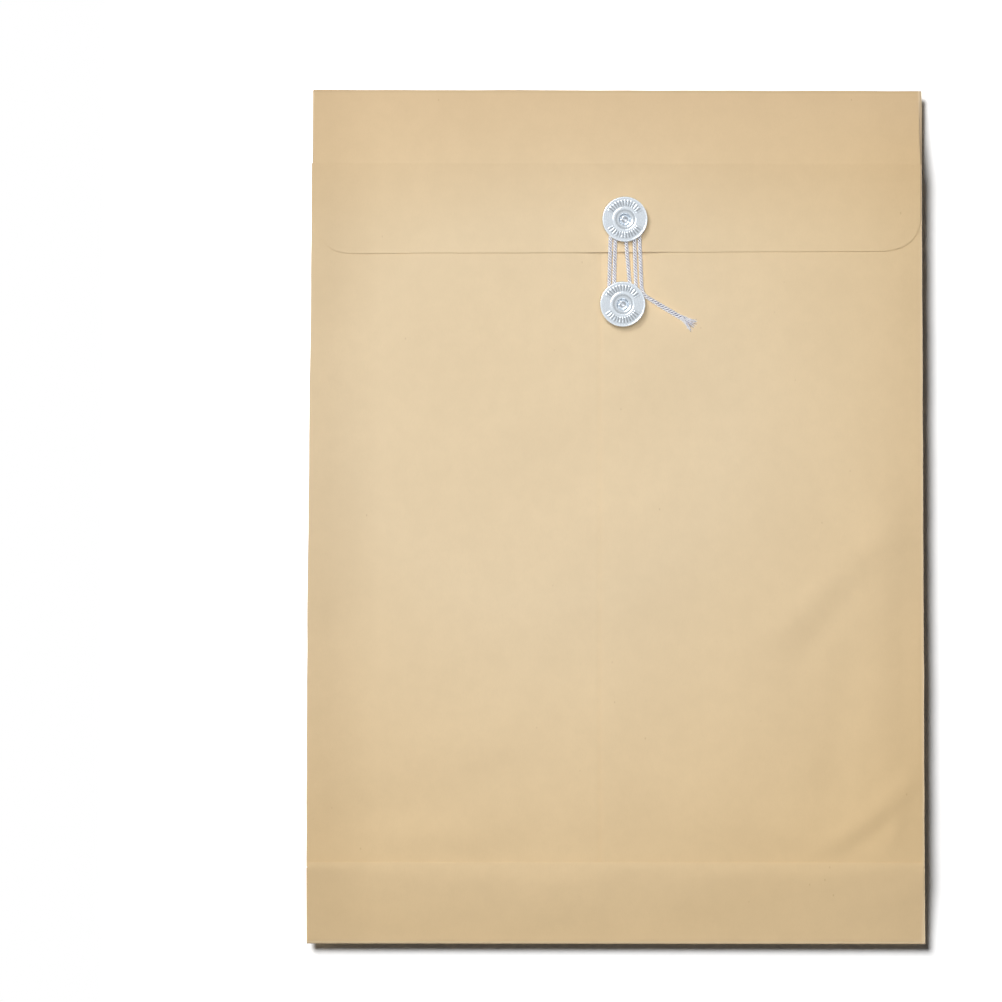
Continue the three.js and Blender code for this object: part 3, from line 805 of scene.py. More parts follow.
@dataclass(frozen=True)
class AluminiumFinish:
    """Bright stamped sheet with fine handling marks.

    The rings, as (inner radius, outer radius, level), are painted highlight and painted shade, brighter or
    darker.
    """

    name: str
    colour: Colour
    centre: Spot
    shading_rings: tuple[Triple, ...]
    strokes: int = 0
    stroke_band: Spot = (5.0, 7.6)
    stroke_end: float = 0.3
    soft: float = 0.16
    roughness: float = 0.24
    dull: float = 0.72
    # Level of the painted shade between the strokes.
    hollow: float = 0.56

    def material(self) -> Material:
        """Builds the metal's material.

        Returns:
            The material.
        """
        graph = NodeGraph(self.name)
        grain = graph.noise((2600.0, 2600.0, 2600.0), detail=3.0, roughness=0.65)
        marks = graph.noise((5200.0, 420.0, 900.0), 33.0)
        grain_share = graph.remap(grain, 0.42, 0.75, 0.0, 0.35)
        colour = graph.tint(grain_share, self.colour, scaled(self.colour, self.dull))
        across, along, reach = graph.from_spot(*graph.axes()[:2], self.centre)
        soft = (-self.soft, self.soft)
        # Painted highlight and shade in rings round the centre.
        for inner, outer, level in self.shading_rings:
            ring = self._ring(graph, reach, (inner, outer), soft, soft)
            colour = graph.tint(ring, colour, scaled(self.colour, level))
        # Painted shade between the stamped strokes.
        if self.strokes:
            hollows = self._shade_between_strokes(graph, across, along, reach)
            colour = graph.tint(hollows, colour, scaled(self.colour, self.hollow))
        wear = graph.product(grain, marks)
        roughness = graph.remap(wear, 0.1, 0.4, self.roughness - 0.08, self.roughness + 0.14)
        normal = graph.bump(grain, 0.006, graph.bump(marks, 0.004))
        return graph.finish(colour, normal, roughness, Metallic=1.0)

    @staticmethod
    def _ring(graph: NodeGraph, reach: Socket, radii: Spot, rise: Spot, fall: Spot) -> Socket:
        """Is 1 between two radii, with a rise round the inner one and a fall round the outer one."""
        rises = graph.fade(reach, radii[0], Fade(*rise, 0.0, 1.0))
        return graph.product(rises, graph.fade(reach, radii[1], Fade(*fall, 1.0, 0.0)))

    def _shade_between_strokes(self, graph: NodeGraph, across: Socket, along: Socket, reach: Socket) -> Socket:
        """Paints shade into the hollows between the stamped strokes of the two arcs.

        Args:
            graph: The material's nodes.
            across: Offset from the centre along X.
            along: Offset from the centre along Y.
            reach: Distance from the centre.

        Returns:
            How much painted shade darkens the metal at each place.
        """
        angle = graph.calculate("ARCTAN2", along, across)
        wave = graph.calculate("COSINE", graph.calculate("MULTIPLY", angle, float(self.strokes)))
        steep = graph.calculate("DIVIDE", graph.calculate("ABSOLUTE", along), reach)
        return graph.product(
            graph.remap(wave, 0.35, -0.35, 0.0, 1.0),
            graph.remap(steep, 0.4, 0.5, 0.0, 1.0),
            self._ring(graph, reach, self.stroke_band, (0.0, self.stroke_end), (-self.stroke_end, 0.0)),
        )


@dataclass(frozen=True)
class CottonFinish:
    """Braided cotton, a little darker in random patches of slubs and fuzz."""

    name: str
    colour: Colour
    hollow: Colour

    def material(self) -> Material:
        """Builds the yarn's material.

        Returns:
            The material.
        """
        graph = NodeGraph(self.name)
        fuzz = graph.noise((9000.0, 9000.0, 9000.0))
        slubs = graph.noise((900.0, 900.0, 900.0))
        colour = graph.tint(graph.remap(slubs, 0.35, 0.7, 0.0, 0.55), self.colour, self.hollow)
        colour = graph.tint(graph.remap(fuzz, 0.5, 0.8, 0.0, 0.4), colour, self.hollow)
        sheen = {"Sheen_Weight": 0.15, "Sheen_Roughness": 0.4}
        return graph.finish(colour, graph.bump(fuzz, 0.03), 0.85, Specular_IOR_Level=0.25, **sheen)


@dataclass(frozen=True)
class Lamp:
    """One soft round light: where it hangs, where it points, its size, power and spread."""

    name: str
    place: Triple
    aim: Spot
    size: float
    power: float
    spread: float
    lit: Lit

    def hang(self, floor: Piece, strings: list[Piece]) -> None:
        """Makes the light.

        Args:
            floor: The floor, which only some of the lights reach.
            strings: The thin pieces that the key light passes, as it would a real string's fuzz.
        """
        data = bpy.data.lights.new(self.name, "AREA")
        data.shape = "DISK"
        data.size = self.size * MM
        data.energy = self.power
        data.spread = math.radians(self.spread)
        light = bpy.data.objects.new(self.name, data)
        light.location = Vector(self.place) * MM
        facing = Vector((*self.aim, 0.0)) * MM - light.location
        light.rotation_euler = facing.to_track_quat("-Z", "Y").to_euler()
        light.visible_glossy = self.lit is Lit.EVERYTHING
        bpy.context.collection.objects.link(light)
        group = bpy.data.collections.new(f"{self.name}_group")
        for piece in strings if self.lit is Lit.EVERYTHING else [floor]:
            group.objects.link(piece)
        if self.lit is Lit.EVERYTHING:
            light.light_linking.blocker_collection = group
        else:
            light.light_linking.receiver_collection = group
        for entry in group.collection_objects:
            entry.light_linking.link_state = "INCLUDE" if self.lit is Lit.FLOOR else "EXCLUDE"


@dataclass(frozen=True)
class Studio:
    """The camera at the photograph's angle, a white floor and backdrop, and the lamps."""

    aim: Spot = (-44.97, 5.48)
    distance: float = 1100.0
    turn: Triple = (2.169, -0.23, 0.095)
    focal_pixels: float = 2816.7
    image_pixels: float = 1002.0
    sensor: float = 36.0
    clip: Spot = (0.01, 20.0)
    envelope_half: Spot = (120.0, 166.0)
    floor_half: float = 3000.0
    floor_drop: float = 4.5
    floor_grey: float = 0.8
    floor_gain: float = 1.27
    apron: float = 12.0
    apron_fade: float = 70.0
    fill: float = 0.03
    lamps: tuple[Lamp, ...] = (
        Lamp("key", (-670.0, 840.0, 1400.0), (100.0, -140.0), 820.0, 3.0, 80.0, Lit.EVERYTHING),
        Lamp("key_for_floor", (-670.0, 840.0, 1400.0), (100.0, -140.0), 820.0, 5.5, 80.0, Lit.FLOOR),
        Lamp("overhead", (-80.0, 60.0, 1500.0), (0.0, 0.0), 1000.0, 12.2, 170.0, Lit.ENVELOPE),
    )

    def camera(self) -> None:
        """Sets up the camera, tilted about X, then Y, then Z, and aimed at a spot of the floor."""
        data = bpy.data.cameras.new("camera")
        data.sensor_width = self.sensor
        data.lens = self.focal_pixels / self.image_pixels * self.sensor
        data.clip_start, data.clip_end = self.clip
        camera = bpy.data.objects.new("camera", data)
        tilt_x, tilt_y, tilt_z = (math.radians(angle) for angle in self.turn)
        rotation = (
            Euler((tilt_x, 0, 0)).to_matrix()
            @ Euler((0, tilt_y, 0)).to_matrix()
            @ Euler((0, 0, tilt_z)).to_matrix()
        )
        camera.matrix_world = rotation.to_4x4()
        camera.location = Vector((*self.aim, 0)) * MM + rotation @ Vector((0, 0, self.distance * MM))
        bpy.context.collection.objects.link(camera)
        bpy.context.scene.camera = camera

    def world(self) -> None:
        """Makes a white backdrop that gives only a little light of its own."""
        world = bpy.data.worlds.new("studio")
        world.use_nodes = True
        tree = world.node_tree
        tree.nodes.clear()
        background = tree.nodes.new("ShaderNodeBackground")
        background.inputs["Color"].default_value = (1.0, 1.0, 1.0, 1.0)
        level = tree.nodes.new("ShaderNodeMapRange")
        level.inputs["To Min"].default_value = self.fill
        level.inputs["To Max"].default_value = 1.0
        output = tree.nodes.new("ShaderNodeOutputWorld")
        tree.links.new(self.seen_directly(tree), level.inputs["Value"])
        tree.links.new(level.outputs["Result"], background.inputs["Strength"])
        tree.links.new(background.outputs["Background"], output.inputs["Surface"])
        bpy.context.scene.world = world

    @staticmethod
    def seen_directly(tree: bpy.types.NodeTree) -> Socket:
        """Tells the rays of the camera, gloss and glass from the rays that carry light.

        Args:
            tree: The node tree that asks.

        Returns:
            A socket that is 1 for a ray that sees the backdrop.
        """
        path = tree.nodes.new("ShaderNodeLightPath")
        total, *others = (path.outputs[ray.value] for ray in Ray)
        for other in others:
            node = tree.nodes.new("ShaderNodeMath")
            node.operation = "MAXIMUM"
            tree.links.new(total, node.inputs[0])
            tree.links.new(other, node.inputs[1])
            total = node.outputs["Value"]
        return total

    def floor(self) -> Piece:
        """Lays the white floor, which keeps the object's shadow and glows white further out.

        Returns:
            The floor object.
        """
        half, low = self.floor_half, -self.floor_drop
        corners = [[-half, -half, low], [half, -half, low], [half, half, low], [-half, half, low]]
        floor = MeshBuilder.build("floor", np.array(corners), [(0, 1, 2, 3)])
        graph = NodeGraph("white_floor")
        seen = self.seen_directly(graph.tree)
        paint = graph.add("ShaderNodeBsdfDiffuse")
        grey = graph.add("ShaderNodeCombineColor")
        gain = graph.remap(seen, 0.0, 1.0, self.floor_grey, self.floor_gain)
        for channel in range(3):
            graph.join(gain, grey.inputs[channel])
        graph.join(grey.outputs["Color"], paint.inputs["Color"])
        glow = graph.add("ShaderNodeEmission", Strength=1.0)
        beyond = [
            graph.calculate("SUBTRACT", graph.calculate("ABSOLUTE", place), edge * MM)
            for place, edge in zip(graph.axes("ShaderNodeNewGeometry", "Position"), self.envelope_half)
        ]
        apron = Fade(0.0, self.apron_fade, 0.0, 1.0)
        far = graph.fade(graph.calculate("MAXIMUM", *beyond), self.apron, apron)
        blended = graph.add("ShaderNodeMixShader")
        graph.join(graph.product(far, seen), blended.inputs["Fac"])
        graph.join(paint.outputs["BSDF"], blended.inputs[1])
        graph.join(glow.outputs["Emission"], blended.inputs[2])
        graph.join(blended.outputs["Shader"], graph.output.inputs["Surface"])
        floor.data.materials.append(graph.material)
        return floor

    def build(self, strings: list[Piece]) -> None:
        """Sets up the camera, the backdrop, the floor and the lamps, whose key light passes strings."""
        self.camera()
        self.world()
        floor = self.floor()
        for lamp in self.lamps:
            lamp.hang(floor, strings)
        bpy.context.scene.view_settings.view_transform = "Standard"


@dataclass(frozen=True)
class Washer:
    """Where one string washer sits: its name, centre, seat and the bodies that it moves with.

    seat is the height of the paper under the disc, and stack is the thickness that it is riveted to.
    """

    prefix: str
    centre: Spot
    seat: float
    stack: float
    disc_body: str
    rivet_body: str


@dataclass(frozen=True)
class WasherMaker:
    """Makes the stamped discs and their star-clinched rivets, at the origin and then seated."""

    disc_radius: float = 8.8
    sheet: float = 0.35
    running_gap: float = 0.1
    bore: float = 1.34
    floor_radius: float = 2.15
    floor_corner: float = 0.25
    wall_radius: float = 2.28
    mouth_radius: float = 3.7
    cup_depth: float = 2.4
    flare_height: float = 0.62
    ring_bead: Spot = (4.1, 4.8)
    bead_height: float = 0.1
    rim_radius: float = 0.38
    rim_height: float = 0.3
    band_inner: float = 4.98
    band_outer: float = 7.65
    ticks: int = 36
    tick_height: float = 0.13
    disc_sides: int = 352
    rivet_sides: int = 96
    petals: int = 6
    petal_reach: float = 2.02
    petal_root: float = 1.28
    petal_waist: float = 0.42
    petal_dip: float = 0.22
    rivet_bore: float = 0.62
    barrel: float = 1.25
    head_radius: float = 3.0
    head_height: float = 0.3

    def disc(self, washer: Washer, finish: Material) -> None:
        """Makes the disc of a washer.

        Args:
            washer: Where it sits.
            finish: Its material.
        """
        flange = self.running_gap + self.cup_depth
        under_flange = flange - self.sheet
        floor = self.running_gap + self.sheet
        wall = self.floor_radius - self.floor_corner
        mouth = flange - self.flare_height
        bead_start, bead_end = self.ring_bead
        top = [(self.bore, floor), (wall, floor)]
        top += self._arc((wall, floor + 0.28), (self.floor_corner, 0.28), -90, 0, 5)
        top += [(self.wall_radius - 0.08, mouth - 0.1)]
        top += self._flare((self.wall_radius, mouth), (self.mouth_radius, flange), 9)
        top += [(radius, flange) for radius in (3.95, bead_start)]
        for radius in (4.25, 4.45, 4.65):
            bead = math.sin(math.pi * (radius - bead_start) / (bead_end - bead_start))
            top.append((radius, flange + self.bead_height * bead))
        top += [(bead_end, flange)]
        top += [(radius, flange) for radius in np.linspace(self.band_inner, self.band_outer, 14)]
        top += [(self.disc_radius - 2 * self.rim_radius - 0.12, flange)]
        rim = (self.disc_radius - self.rim_radius, flange)
        top += self._arc(rim, (self.rim_radius, self.rim_height), 180, 0, 10)
        under = [(self.disc_radius, flange - self.sheet * 0.7), (self.disc_radius - 0.15, under_flange)]
        under += [(radius, under_flange) for radius in (7.6, 6.5, 5.2, 4.6)]
        low, high = (self.wall_radius + 0.3, mouth - self.sheet), (self.mouth_radius + 0.2, under_flange)
        under += self._flare(low, high, 7)[::-1]
        under += [(self.floor_radius + 0.32, floor - 0.1), (self.floor_radius + 0.1, self.running_gap)]
        under += [(self.bore, self.running_gap)]
        profile = np.array(top + under)
        stamped = (np.arange(len(profile)) < len(top))[:, None]

        def stamp(radius: Array, height: Array, turn: Array) -> tuple[Array, Array]:
            """Raises the short strokes that stand in two arcs of the flange."""
            along = smooth(radius, self.band_inner + 0.1, self.band_inner + 0.4)
            along = along * (1 - smooth(radius, self.band_outer - 0.4, self.band_outer - 0.1))
            stroke = smooth(np.cos(self.ticks * turn), -0.1, 0.55)
            arcs = smooth(np.abs(np.sin(turn)), 0.4, 0.5)
            return radius, height + np.where(stamped, self.tick_height * along * stroke * arcs, 0.0)

        name = f"{washer.prefix}_disc_stamped"
        piece = MeshBuilder.lathe(name, profile, self.disc_sides, stamp, looped=True, crisp=38.0)
        self._seat(piece, washer)
        dress(piece, (finish,), (f"{washer.prefix}_disc",))
        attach(piece, washer.disc_body)

    def rivet(self, washer: Washer, finish: Material) -> None:
        """Makes the rivet of a washer, with its petals clinched out over the cup's floor.

        Args:
            washer: Where it sits.
            finish: Its material.
        """
        seat = 2 * self.running_gap + self.sheet
        low = -washer.stack
        head, reach, bore = self.head_radius, self.petal_reach, self.rivet_bore
        under = low - self.head_height
        profile = [
            (0.0, under), (2.5, under), (2.85, low - 0.25), (head, low - 0.15), (head, low - 0.05),
            (self.barrel, low - 0.05), (self.barrel, seat), (1.6, seat), (reach, seat),
            (reach + 0.02, seat + 0.08), (reach - 0.06, seat + 0.2), (1.75, seat + 0.34),
            (1.4, seat + 0.47), (1.1, seat + 0.56), (0.9, seat + 0.58), (0.74, seat + 0.53),
            (bore, seat + 0.42), (bore, seat - 0.25), (0.5, seat - 0.34), (0.28, seat - 0.3),
            (0.0, seat - 0.27),
        ]

        def clinch(radius: Array, height: Array, turn: Array) -> tuple[Array, Array]:
            """Cuts the slits between the petals and lowers the metal beside them."""
            cut_from, dip_from, dip_reach, lowest, foot = 1.3, 0.8, 0.6, seat + 0.06, seat + 0.1
            wave = 0.5 + 0.5 * np.cos(self.petals * turn)
            leaf = 1 - self.petal_waist * (1 - wave ** 0.6)
            outer = (radius > cut_from) & (height > seat - 0.01)
            slit = self.petal_root + (radius - self.petal_root) * leaf
            radius = np.where(outer, slit, radius)
            dip = self.petal_dip * (1 - wave) ** 2 * np.clip((radius - dip_from) / dip_reach, 0, 1)
            lowered = np.maximum(height - dip, lowest)
            return radius, np.where(outer & (height > foot), lowered, height)

        name = f"{washer.prefix}_rivet_star"
        points = np.array(profile)
        piece = MeshBuilder.lathe(name, points, self.rivet_sides, clinch, looped=False, crisp=50.0)
        self._seat(piece, washer)
        dress(piece, (finish,), (f"{washer.prefix}_rivet",))
        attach(piece, washer.rivet_body)

    @staticmethod
    def _arc(centre: Spot, size: Spot, start: float, end: float, steps: int) -> list[Spot]:
        """Points on an ellipse about a centre, from one angle to another in degrees."""
        angles = np.radians(np.linspace(start, end, steps))
        return [(centre[0] + size[0] * math.cos(a), centre[1] + size[1] * math.sin(a)) for a in angles]

    @staticmethod
    def _flare(inner: Spot, outer: Spot, steps: int) -> list[Spot]:
        """Points on the quarter ellipse that opens the cup's wall out to the flange."""
        across, up = outer[0] - inner[0], outer[1] - inner[1]
        angles = np.linspace(0, math.pi / 2, steps)
        return [(outer[0] - across * math.cos(a), inner[1] + up * math.sin(a)) for a in angles]

    @staticmethod
    def _seat(piece: Piece, washer: Washer) -> None:
        """Moves a piece's mesh from the origin to its washer."""
        place = np.empty(len(piece.data.vertices) * 3)
        piece.data.vertices.foreach_get("co", place)
        shift = np.array([*washer.centre, washer.seat]) * MM
        piece.data.vertices.foreach_set("co", (place.reshape(-1, 3) + shift).ravel())
        piece.data.update()


def turned(angle: float) -> Spot:
    """Cosine and sine of an angle in degrees."""
    return math.cos(math.radians(angle)), math.sin(math.radians(angle))


def spread(x: Array, y: Array, z: Array) -> Array:
    """Puts rows and columns of places together as one grid of points."""
    return np.stack(np.broadcast_arrays(x, y, z), axis=2)


@dataclass(frozen=True)
class PaperMaker:
    """Makes the envelope's paper as sheets that bend at its folds.

    held is the ring round a washer in which the paper comes free of it. left_draw, right_draw and
    out_draw are where along Y, up and out from the middle the long edges are drawn in.
    """

    blank: Blank
    outside: Material
    inside: Material
    washers: tuple[Spot, ...]
    step: float = 2.4
    left_inset: float = 1.0
    right_inset: float = 0.85
    left_draw: Spot = (-60.0, 130.0)
    right_draw: Spot = (0.7, 4.0)
    out_draw: Spot = (60.0, 118.0)
    crease_bead: float = 0.14
    bead_reach: float = 0.7
    fold_steps: int = 15
    flap_gap: float = 0.18
    sag: float = 0.3
    ply_half: float = 119.4
    held: Spot = (9.0, 24.0)
    waves: Cockle = Cockle(seed=11, height=0.75)
    crinkles: Cockle = Cockle(seed=5, waves=12, shortest=16, longest=40, height=0.12)
    flap_waves: Cockle = Cockle(seed=23, height=0.2)
    bottom_waves: Cockle = Cockle(seed=31, waves=14, shortest=20, longest=70, height=0.4)
    back_ripples: tuple[Ripple, ...] = (
        Ripple((118, -104), (80, -132), 5.5, 1.05),
        Ripple((114, -112), (90, -131), 4.5, -0.7),
        Ripple((103, -10), (68, -43), 8.0, 0.95),
        Ripple((98, -20), (72, -52), 7.0, -0.6),
        Ripple((110, -118), (106, -129), 4.0, 0.7),
        Ripple((92, -60), (84, -104), 7.0, -0.65),
        Ripple((-96, -122), (-60, -128), 7.0, 0.55),
        Ripple((-40, -100), (-92, -118), 9.0, -0.6),
        Ripple((30, -112), (64, -122), 9.0, 0.6),
    )
    bottom_ripples: tuple[Ripple, ...] = (
        Ripple((118, -138), (104, -149), 2.4, 0.5),
        Ripple((112, -139), (99, -147), 2.4, -0.22),
        Ripple((-108, -150), (-97, -158), 3.0, 0.4),
        Ripple((-86, -146), (-70, -152), 4.0, -0.2),
        Ripple((18, -144), (46, -156), 5.0, 0.16),
        Ripple((-34, -142), (-8, -150), 5.0, 0.14),
    )

    @staticmethod
    def edge_wander(along: Array, seed: int, height: float) -> Array:
        """How far a cut or folded edge wanders from a straight line.

        Args:
            along: Places along the edge.
            seed: Chooses the wandering.
            height: Its size.

        Returns:
            The offset at each place.
        """
        random = np.random.default_rng(seed)
        lengths = (23.0, 41.0, 67.0, 110.0)
        total = np.zeros_like(along)
        for length in lengths:
            total += np.sin(TURN * along / length + random.uniform(0, TURN))
        return height * total / len(lengths)

    def _crease(self, y: Array) -> Array:
        """The raised bead along the flap's crease."""
        return self.crease_bead * np.exp(-((y - self.blank.crease_y) / self.bead_reach) ** 2)

    def _lap_lift(self, inward: Array) -> Array:
        """How far the upper half of the back stands up over the seam, away from it to its right."""
        low, high = self.blank.lap - 2, self.blank.lap + 22
        return self.blank.seam_step * (1 - smooth(inward, low, high))

    def back_relief(self, x: Array, y: Array) -> Array:
        """How far the back panel stands from the flat CAD panel.

        Args:
            x: Places along X.
            y: Places along Y.

        Returns:
            The lift at each place.
        """
        blank = self.blank
        near_gusset = (blank.gusset_line - 10.0, blank.gusset_line + 0.6)
        near_side = (blank.half_width - 9, blank.half_width - 0.5)
        past_ridge = (blank.ridge_y + 1, blank.ridge_y + 14)
        near_throat = (blank.crease_y - 6, blank.crease_y)
        below_throat = (blank.crease_y - 20, blank.crease_y - 48)
        under_flap = 0.3
        sag = -self.sag * (1 - smooth(np.abs(x), *near_gusset))
        waves = self.waves.lift(x, y) + self.crinkles.lift(x, y)
        pressed = sum(ripple.lift(x, y) for ripple in self.back_ripples)
        free = (1 - smooth(np.abs(x), *near_side)) * smooth(y, *past_ridge)
        free = free * (under_flap + (1 - under_flap) * smooth(y, *below_throat))
        free = free * (1 - smooth(y, *near_throat))
        for centre in self.washers:
            free = free * smooth(np.hypot(x - centre[0], y - centre[1]), *self.held)
        return sag + (waves + pressed) * free

    def back_top(self, x: Array, y: Array) -> Array:
        """Height of the back panel's outer face, over its centre seam too."""
        edge = self.blank.seam_shift - self.blank.lap
        over_seam = self._lap_lift(x) * smooth(x, edge - 0.6, edge)
        return self.blank.ridge_z + self.blank.ply + self.back_relief(x, y) + over_seam

    def _root_relief(self, x: Array, y: Array) -> Array:
        """How far the strip above the crease stands from its flat CAD plate."""
        past_crease = (self.blank.crease_y + 0.5, self.blank.crease_y + 6)
        near_fold = (self.blank.half_length - 9, self.blank.half_length - 1)
        free = smooth(y, *past_crease) * (1 - smooth(y, *near_fold))
        return self.flap_waves.lift(x, y) * free + self._crease(y)

    def _flap_height(self, x: Array, y: Array) -> Array:
        """Height of the middle of the flap's paper below its crease.

        The flap leans on the back panel at its free edge and stands off it round its washer.

        Args:
            x: Places along X.
            y: Places along Y.

        Returns:
            The height at each place.
        """
        blank = self.blank
        curve, near_edge, near_crease = 1.2, (0.15, 0.6), (0.75, 1.0)
        share = np.clip((y - blank.flap_edge_y) / (blank.crease_y - blank.flap_edge_y), 0, 1)
        leaning = self.back_top(x, y) + self.flap_gap + blank.ply / 2
        plate = blank.crease_z + blank.ply / 2
        centre_x, centre_y = self.washers[0]
        held = 1 - smooth(np.hypot(x - centre_x, y - centre_y), *self.held)
        off = 1 - (1 - held) * (1 - share ** curve)
        waves = self.flap_waves.lift(x, y) * (1 - held)
        waves = waves * smooth(share, *near_edge) * (1 - smooth(share, *near_crease))
        return leaning + (plate - leaning) * off + waves + self._crease(y)

    def cover(self) -> None:
        """Makes the front panel, the top fold and the flap as one sheet."""
        blank = self.blank
        fold_y, low = blank.half_length, blank.flap_edge_y
        line, arc_end, crease_at = self._cover_line()
        y, z = line[:, 0], line[:, 1]
        rows = np.arange(len(line))
        arc_start, arc_middle = arc_end - (self.fold_steps - 2), arc_end - self.fold_steps // 2
        on_flap = smooth(rows.astype(float), arc_start, arc_end)
        past = np.clip(blank.flap_corner - (y - low), 0, blank.flap_corner)
        corner = blank.flap_corner - np.sqrt(np.maximum(blank.flap_corner ** 2 - past ** 2, 0))
        half = blank.half_width - blank.flap_inset * on_flap - np.where(rows > crease_at, corner, 0)
        x = half[:, None] * self._shares()
        depth, heights = y[:, None], z[:, None]
        on_root = ((rows > arc_end) & (rows < crease_at))[:, None]
        heights = heights + np.where(on_root, self._root_relief(x, depth), 0)
        settled = self._flap_height(x, depth) - (blank.crease_z + blank.ply / 2)
        heights = heights + np.where((rows >= crease_at)[:, None], settled, 0)
        top_shift, top_reach, edge_shift, edge_tilt, edge_reach = 0.35, 6.0, 0.15, 0.006, 3.0
        near_top = np.exp(-((rows - arc_middle) / top_reach) ** 2)[:, None]
        depth = depth + near_top * (top_shift + self.edge_wander(x, 3, 0.13))
        free_edge = np.where(rows > crease_at, np.exp(-((y - low) / edge_reach) ** 2), 0)[:, None]
        depth = depth + free_edge * (edge_shift + edge_tilt * x + self.edge_wander(x, 8, 0.09))
        piece = self._sheet("front_and_flap", spread(x, depth, heights), ("front_panel", "flap"))
        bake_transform(piece)

    def _cover_line(self) -> tuple[Array, int, int]:
        """The (y, z) line of the cover: up the front, round the top fold and down to the flap's edge.

        Returns:
            The line, the number of its point where the fold ends, and that of the crease.
        """
        blank = self.blank
        fold_y, fold_z = blank.top_axis
        low, crease_y = blank.flap_edge_y, blank.crease_y
        radius = blank.top_fold + blank.ply / 2
        reach_y, reach_z = fold_y - crease_y, blank.crease_z - fold_z
        root = math.sqrt(reach_y ** 2 + reach_z ** 2 - blank.top_fold ** 2)
        slope = math.atan2(reach_z, reach_y) - math.atan2(blank.top_fold, root)
        path = [(y, blank.ply / 2) for y in graded(blank.bottom_y, fold_y, self.step)]
        for angle in np.linspace(-90, 90 - math.degrees(slope), self.fold_steps)[1:]:
            cosine, sine = turned(angle)
            path.append((fold_y + radius * cosine, fold_z + radius * sine))
        arc_end = len(path) - 1
        flap_z = blank.crease_z + blank.ply / 2
        start, crease = np.array(path[-1]), np.array([crease_y + 0.02, flap_z])
        for share in graded(0.0, 1.0, 1 / 14, ((1.0, 0.12, 0.012),))[1:-1]:
            path.append(tuple(start + (crease - start) * share))
        crease_at = len(path)
        fine = ((low + 4, 4.0, 0.7), (crease_y, 3.5, 0.35))
        path += [(y, flap_z) for y in graded(low, crease_y, 2.2, fine)[::-1]]
        line = np.array(path)
        start, end = crease_at - 6, crease_at + 6
        for _ in range(3):
            line[start:end] = (line[start - 1:end - 1] + line[start:end] + line[start + 1:end + 1]) / 3
        return line, arc_end, crease_at

    def band(self) -> None:
        """Makes the bottom fold and the band that becomes the floor of the opened envelope."""
        blank = self.blank
        radius = blank.bottom_radius + blank.ply / 2
        flattening = 1.6
        path = []
        for angle in np.linspace(-90, -270 + math.degrees(blank.opening), 17):
            cosine, sine = turned(angle)
            path.append((blank.bottom_y + flattening * radius * cosine, blank.bottom_z + radius * sine))
        path += [blank.on_bottom(along, radius) for along in graded(0.0, blank.gusset, 2.0)[1:]]
        line = np.array(path)
        points = spread(blank.half_width * self._shares(), line[:, :1], line[:, 1:])
        piece = self._sheet("base_band_sheet", points, ("base_band",))
        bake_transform(piece)

    def bottom_ply(self) -> None:
        """Makes the outer ply that is pasted over the band, with its lip on the back panel."""
        blank = self.blank
        edge = blank.gusset + blank.lip
        along = graded(0.35, edge, 1.6, ((30.0, 1.2, 0.2),))
        half = self.ply_half - 0.5 * smooth(along, edge - 3.0, edge)
        x = half[:, None] * self._shares()
        paste, swell, soft, curl_height, lowest = 0.16, 0.12, 0.34, 0.19, -0.12
        rise = blank.bottom_radius + blank.ply + paste + swell * smooth(along, 3.0, 14.0)
        depth, height = (place[:, None] for place in blank.on_bottom(along, rise))
        on_back = np.full((len(along), 1), blank.ridge_y + 1.0)
        seat = self.back_top(x, on_back) + blank.glue + blank.ply / 2
        share = np.clip(0.5 + 0.5 * (seat - height) / soft, 0, 1)
        height = seat * (1 - share) + height * share - soft * share * (1 - share) * 0.5
        curl = (1 - np.exp(-(edge - along) / 0.9)) * smooth(along, 4.0, 20.0)
        height = height + curl_height * curl[:, None]
        free = smooth(along, 2.0, 9.0) * (1 - smooth(along, 24.0, 29.0))
        waves = self.bottom_waves.lift(x, depth)
        pressed = sum(ripple.lift(x, depth) for ripple in self.bottom_ripples)
        height = height + np.maximum(waves + pressed, lowest) * free[:, None]
        last = smooth(along, edge - 1.5, edge)[:, None]
        depth = depth + last * self.edge_wander(x, 17, 0.1)
        piece = self._sheet("bottom_flap_sheet", spread(x, depth, height), ("bottom_flap",))
        start, end = ((0, (blank.ridge_y + side) * MM, blank.ridge_z * MM) for side in (-0.9, 0.9))
        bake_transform(piece)

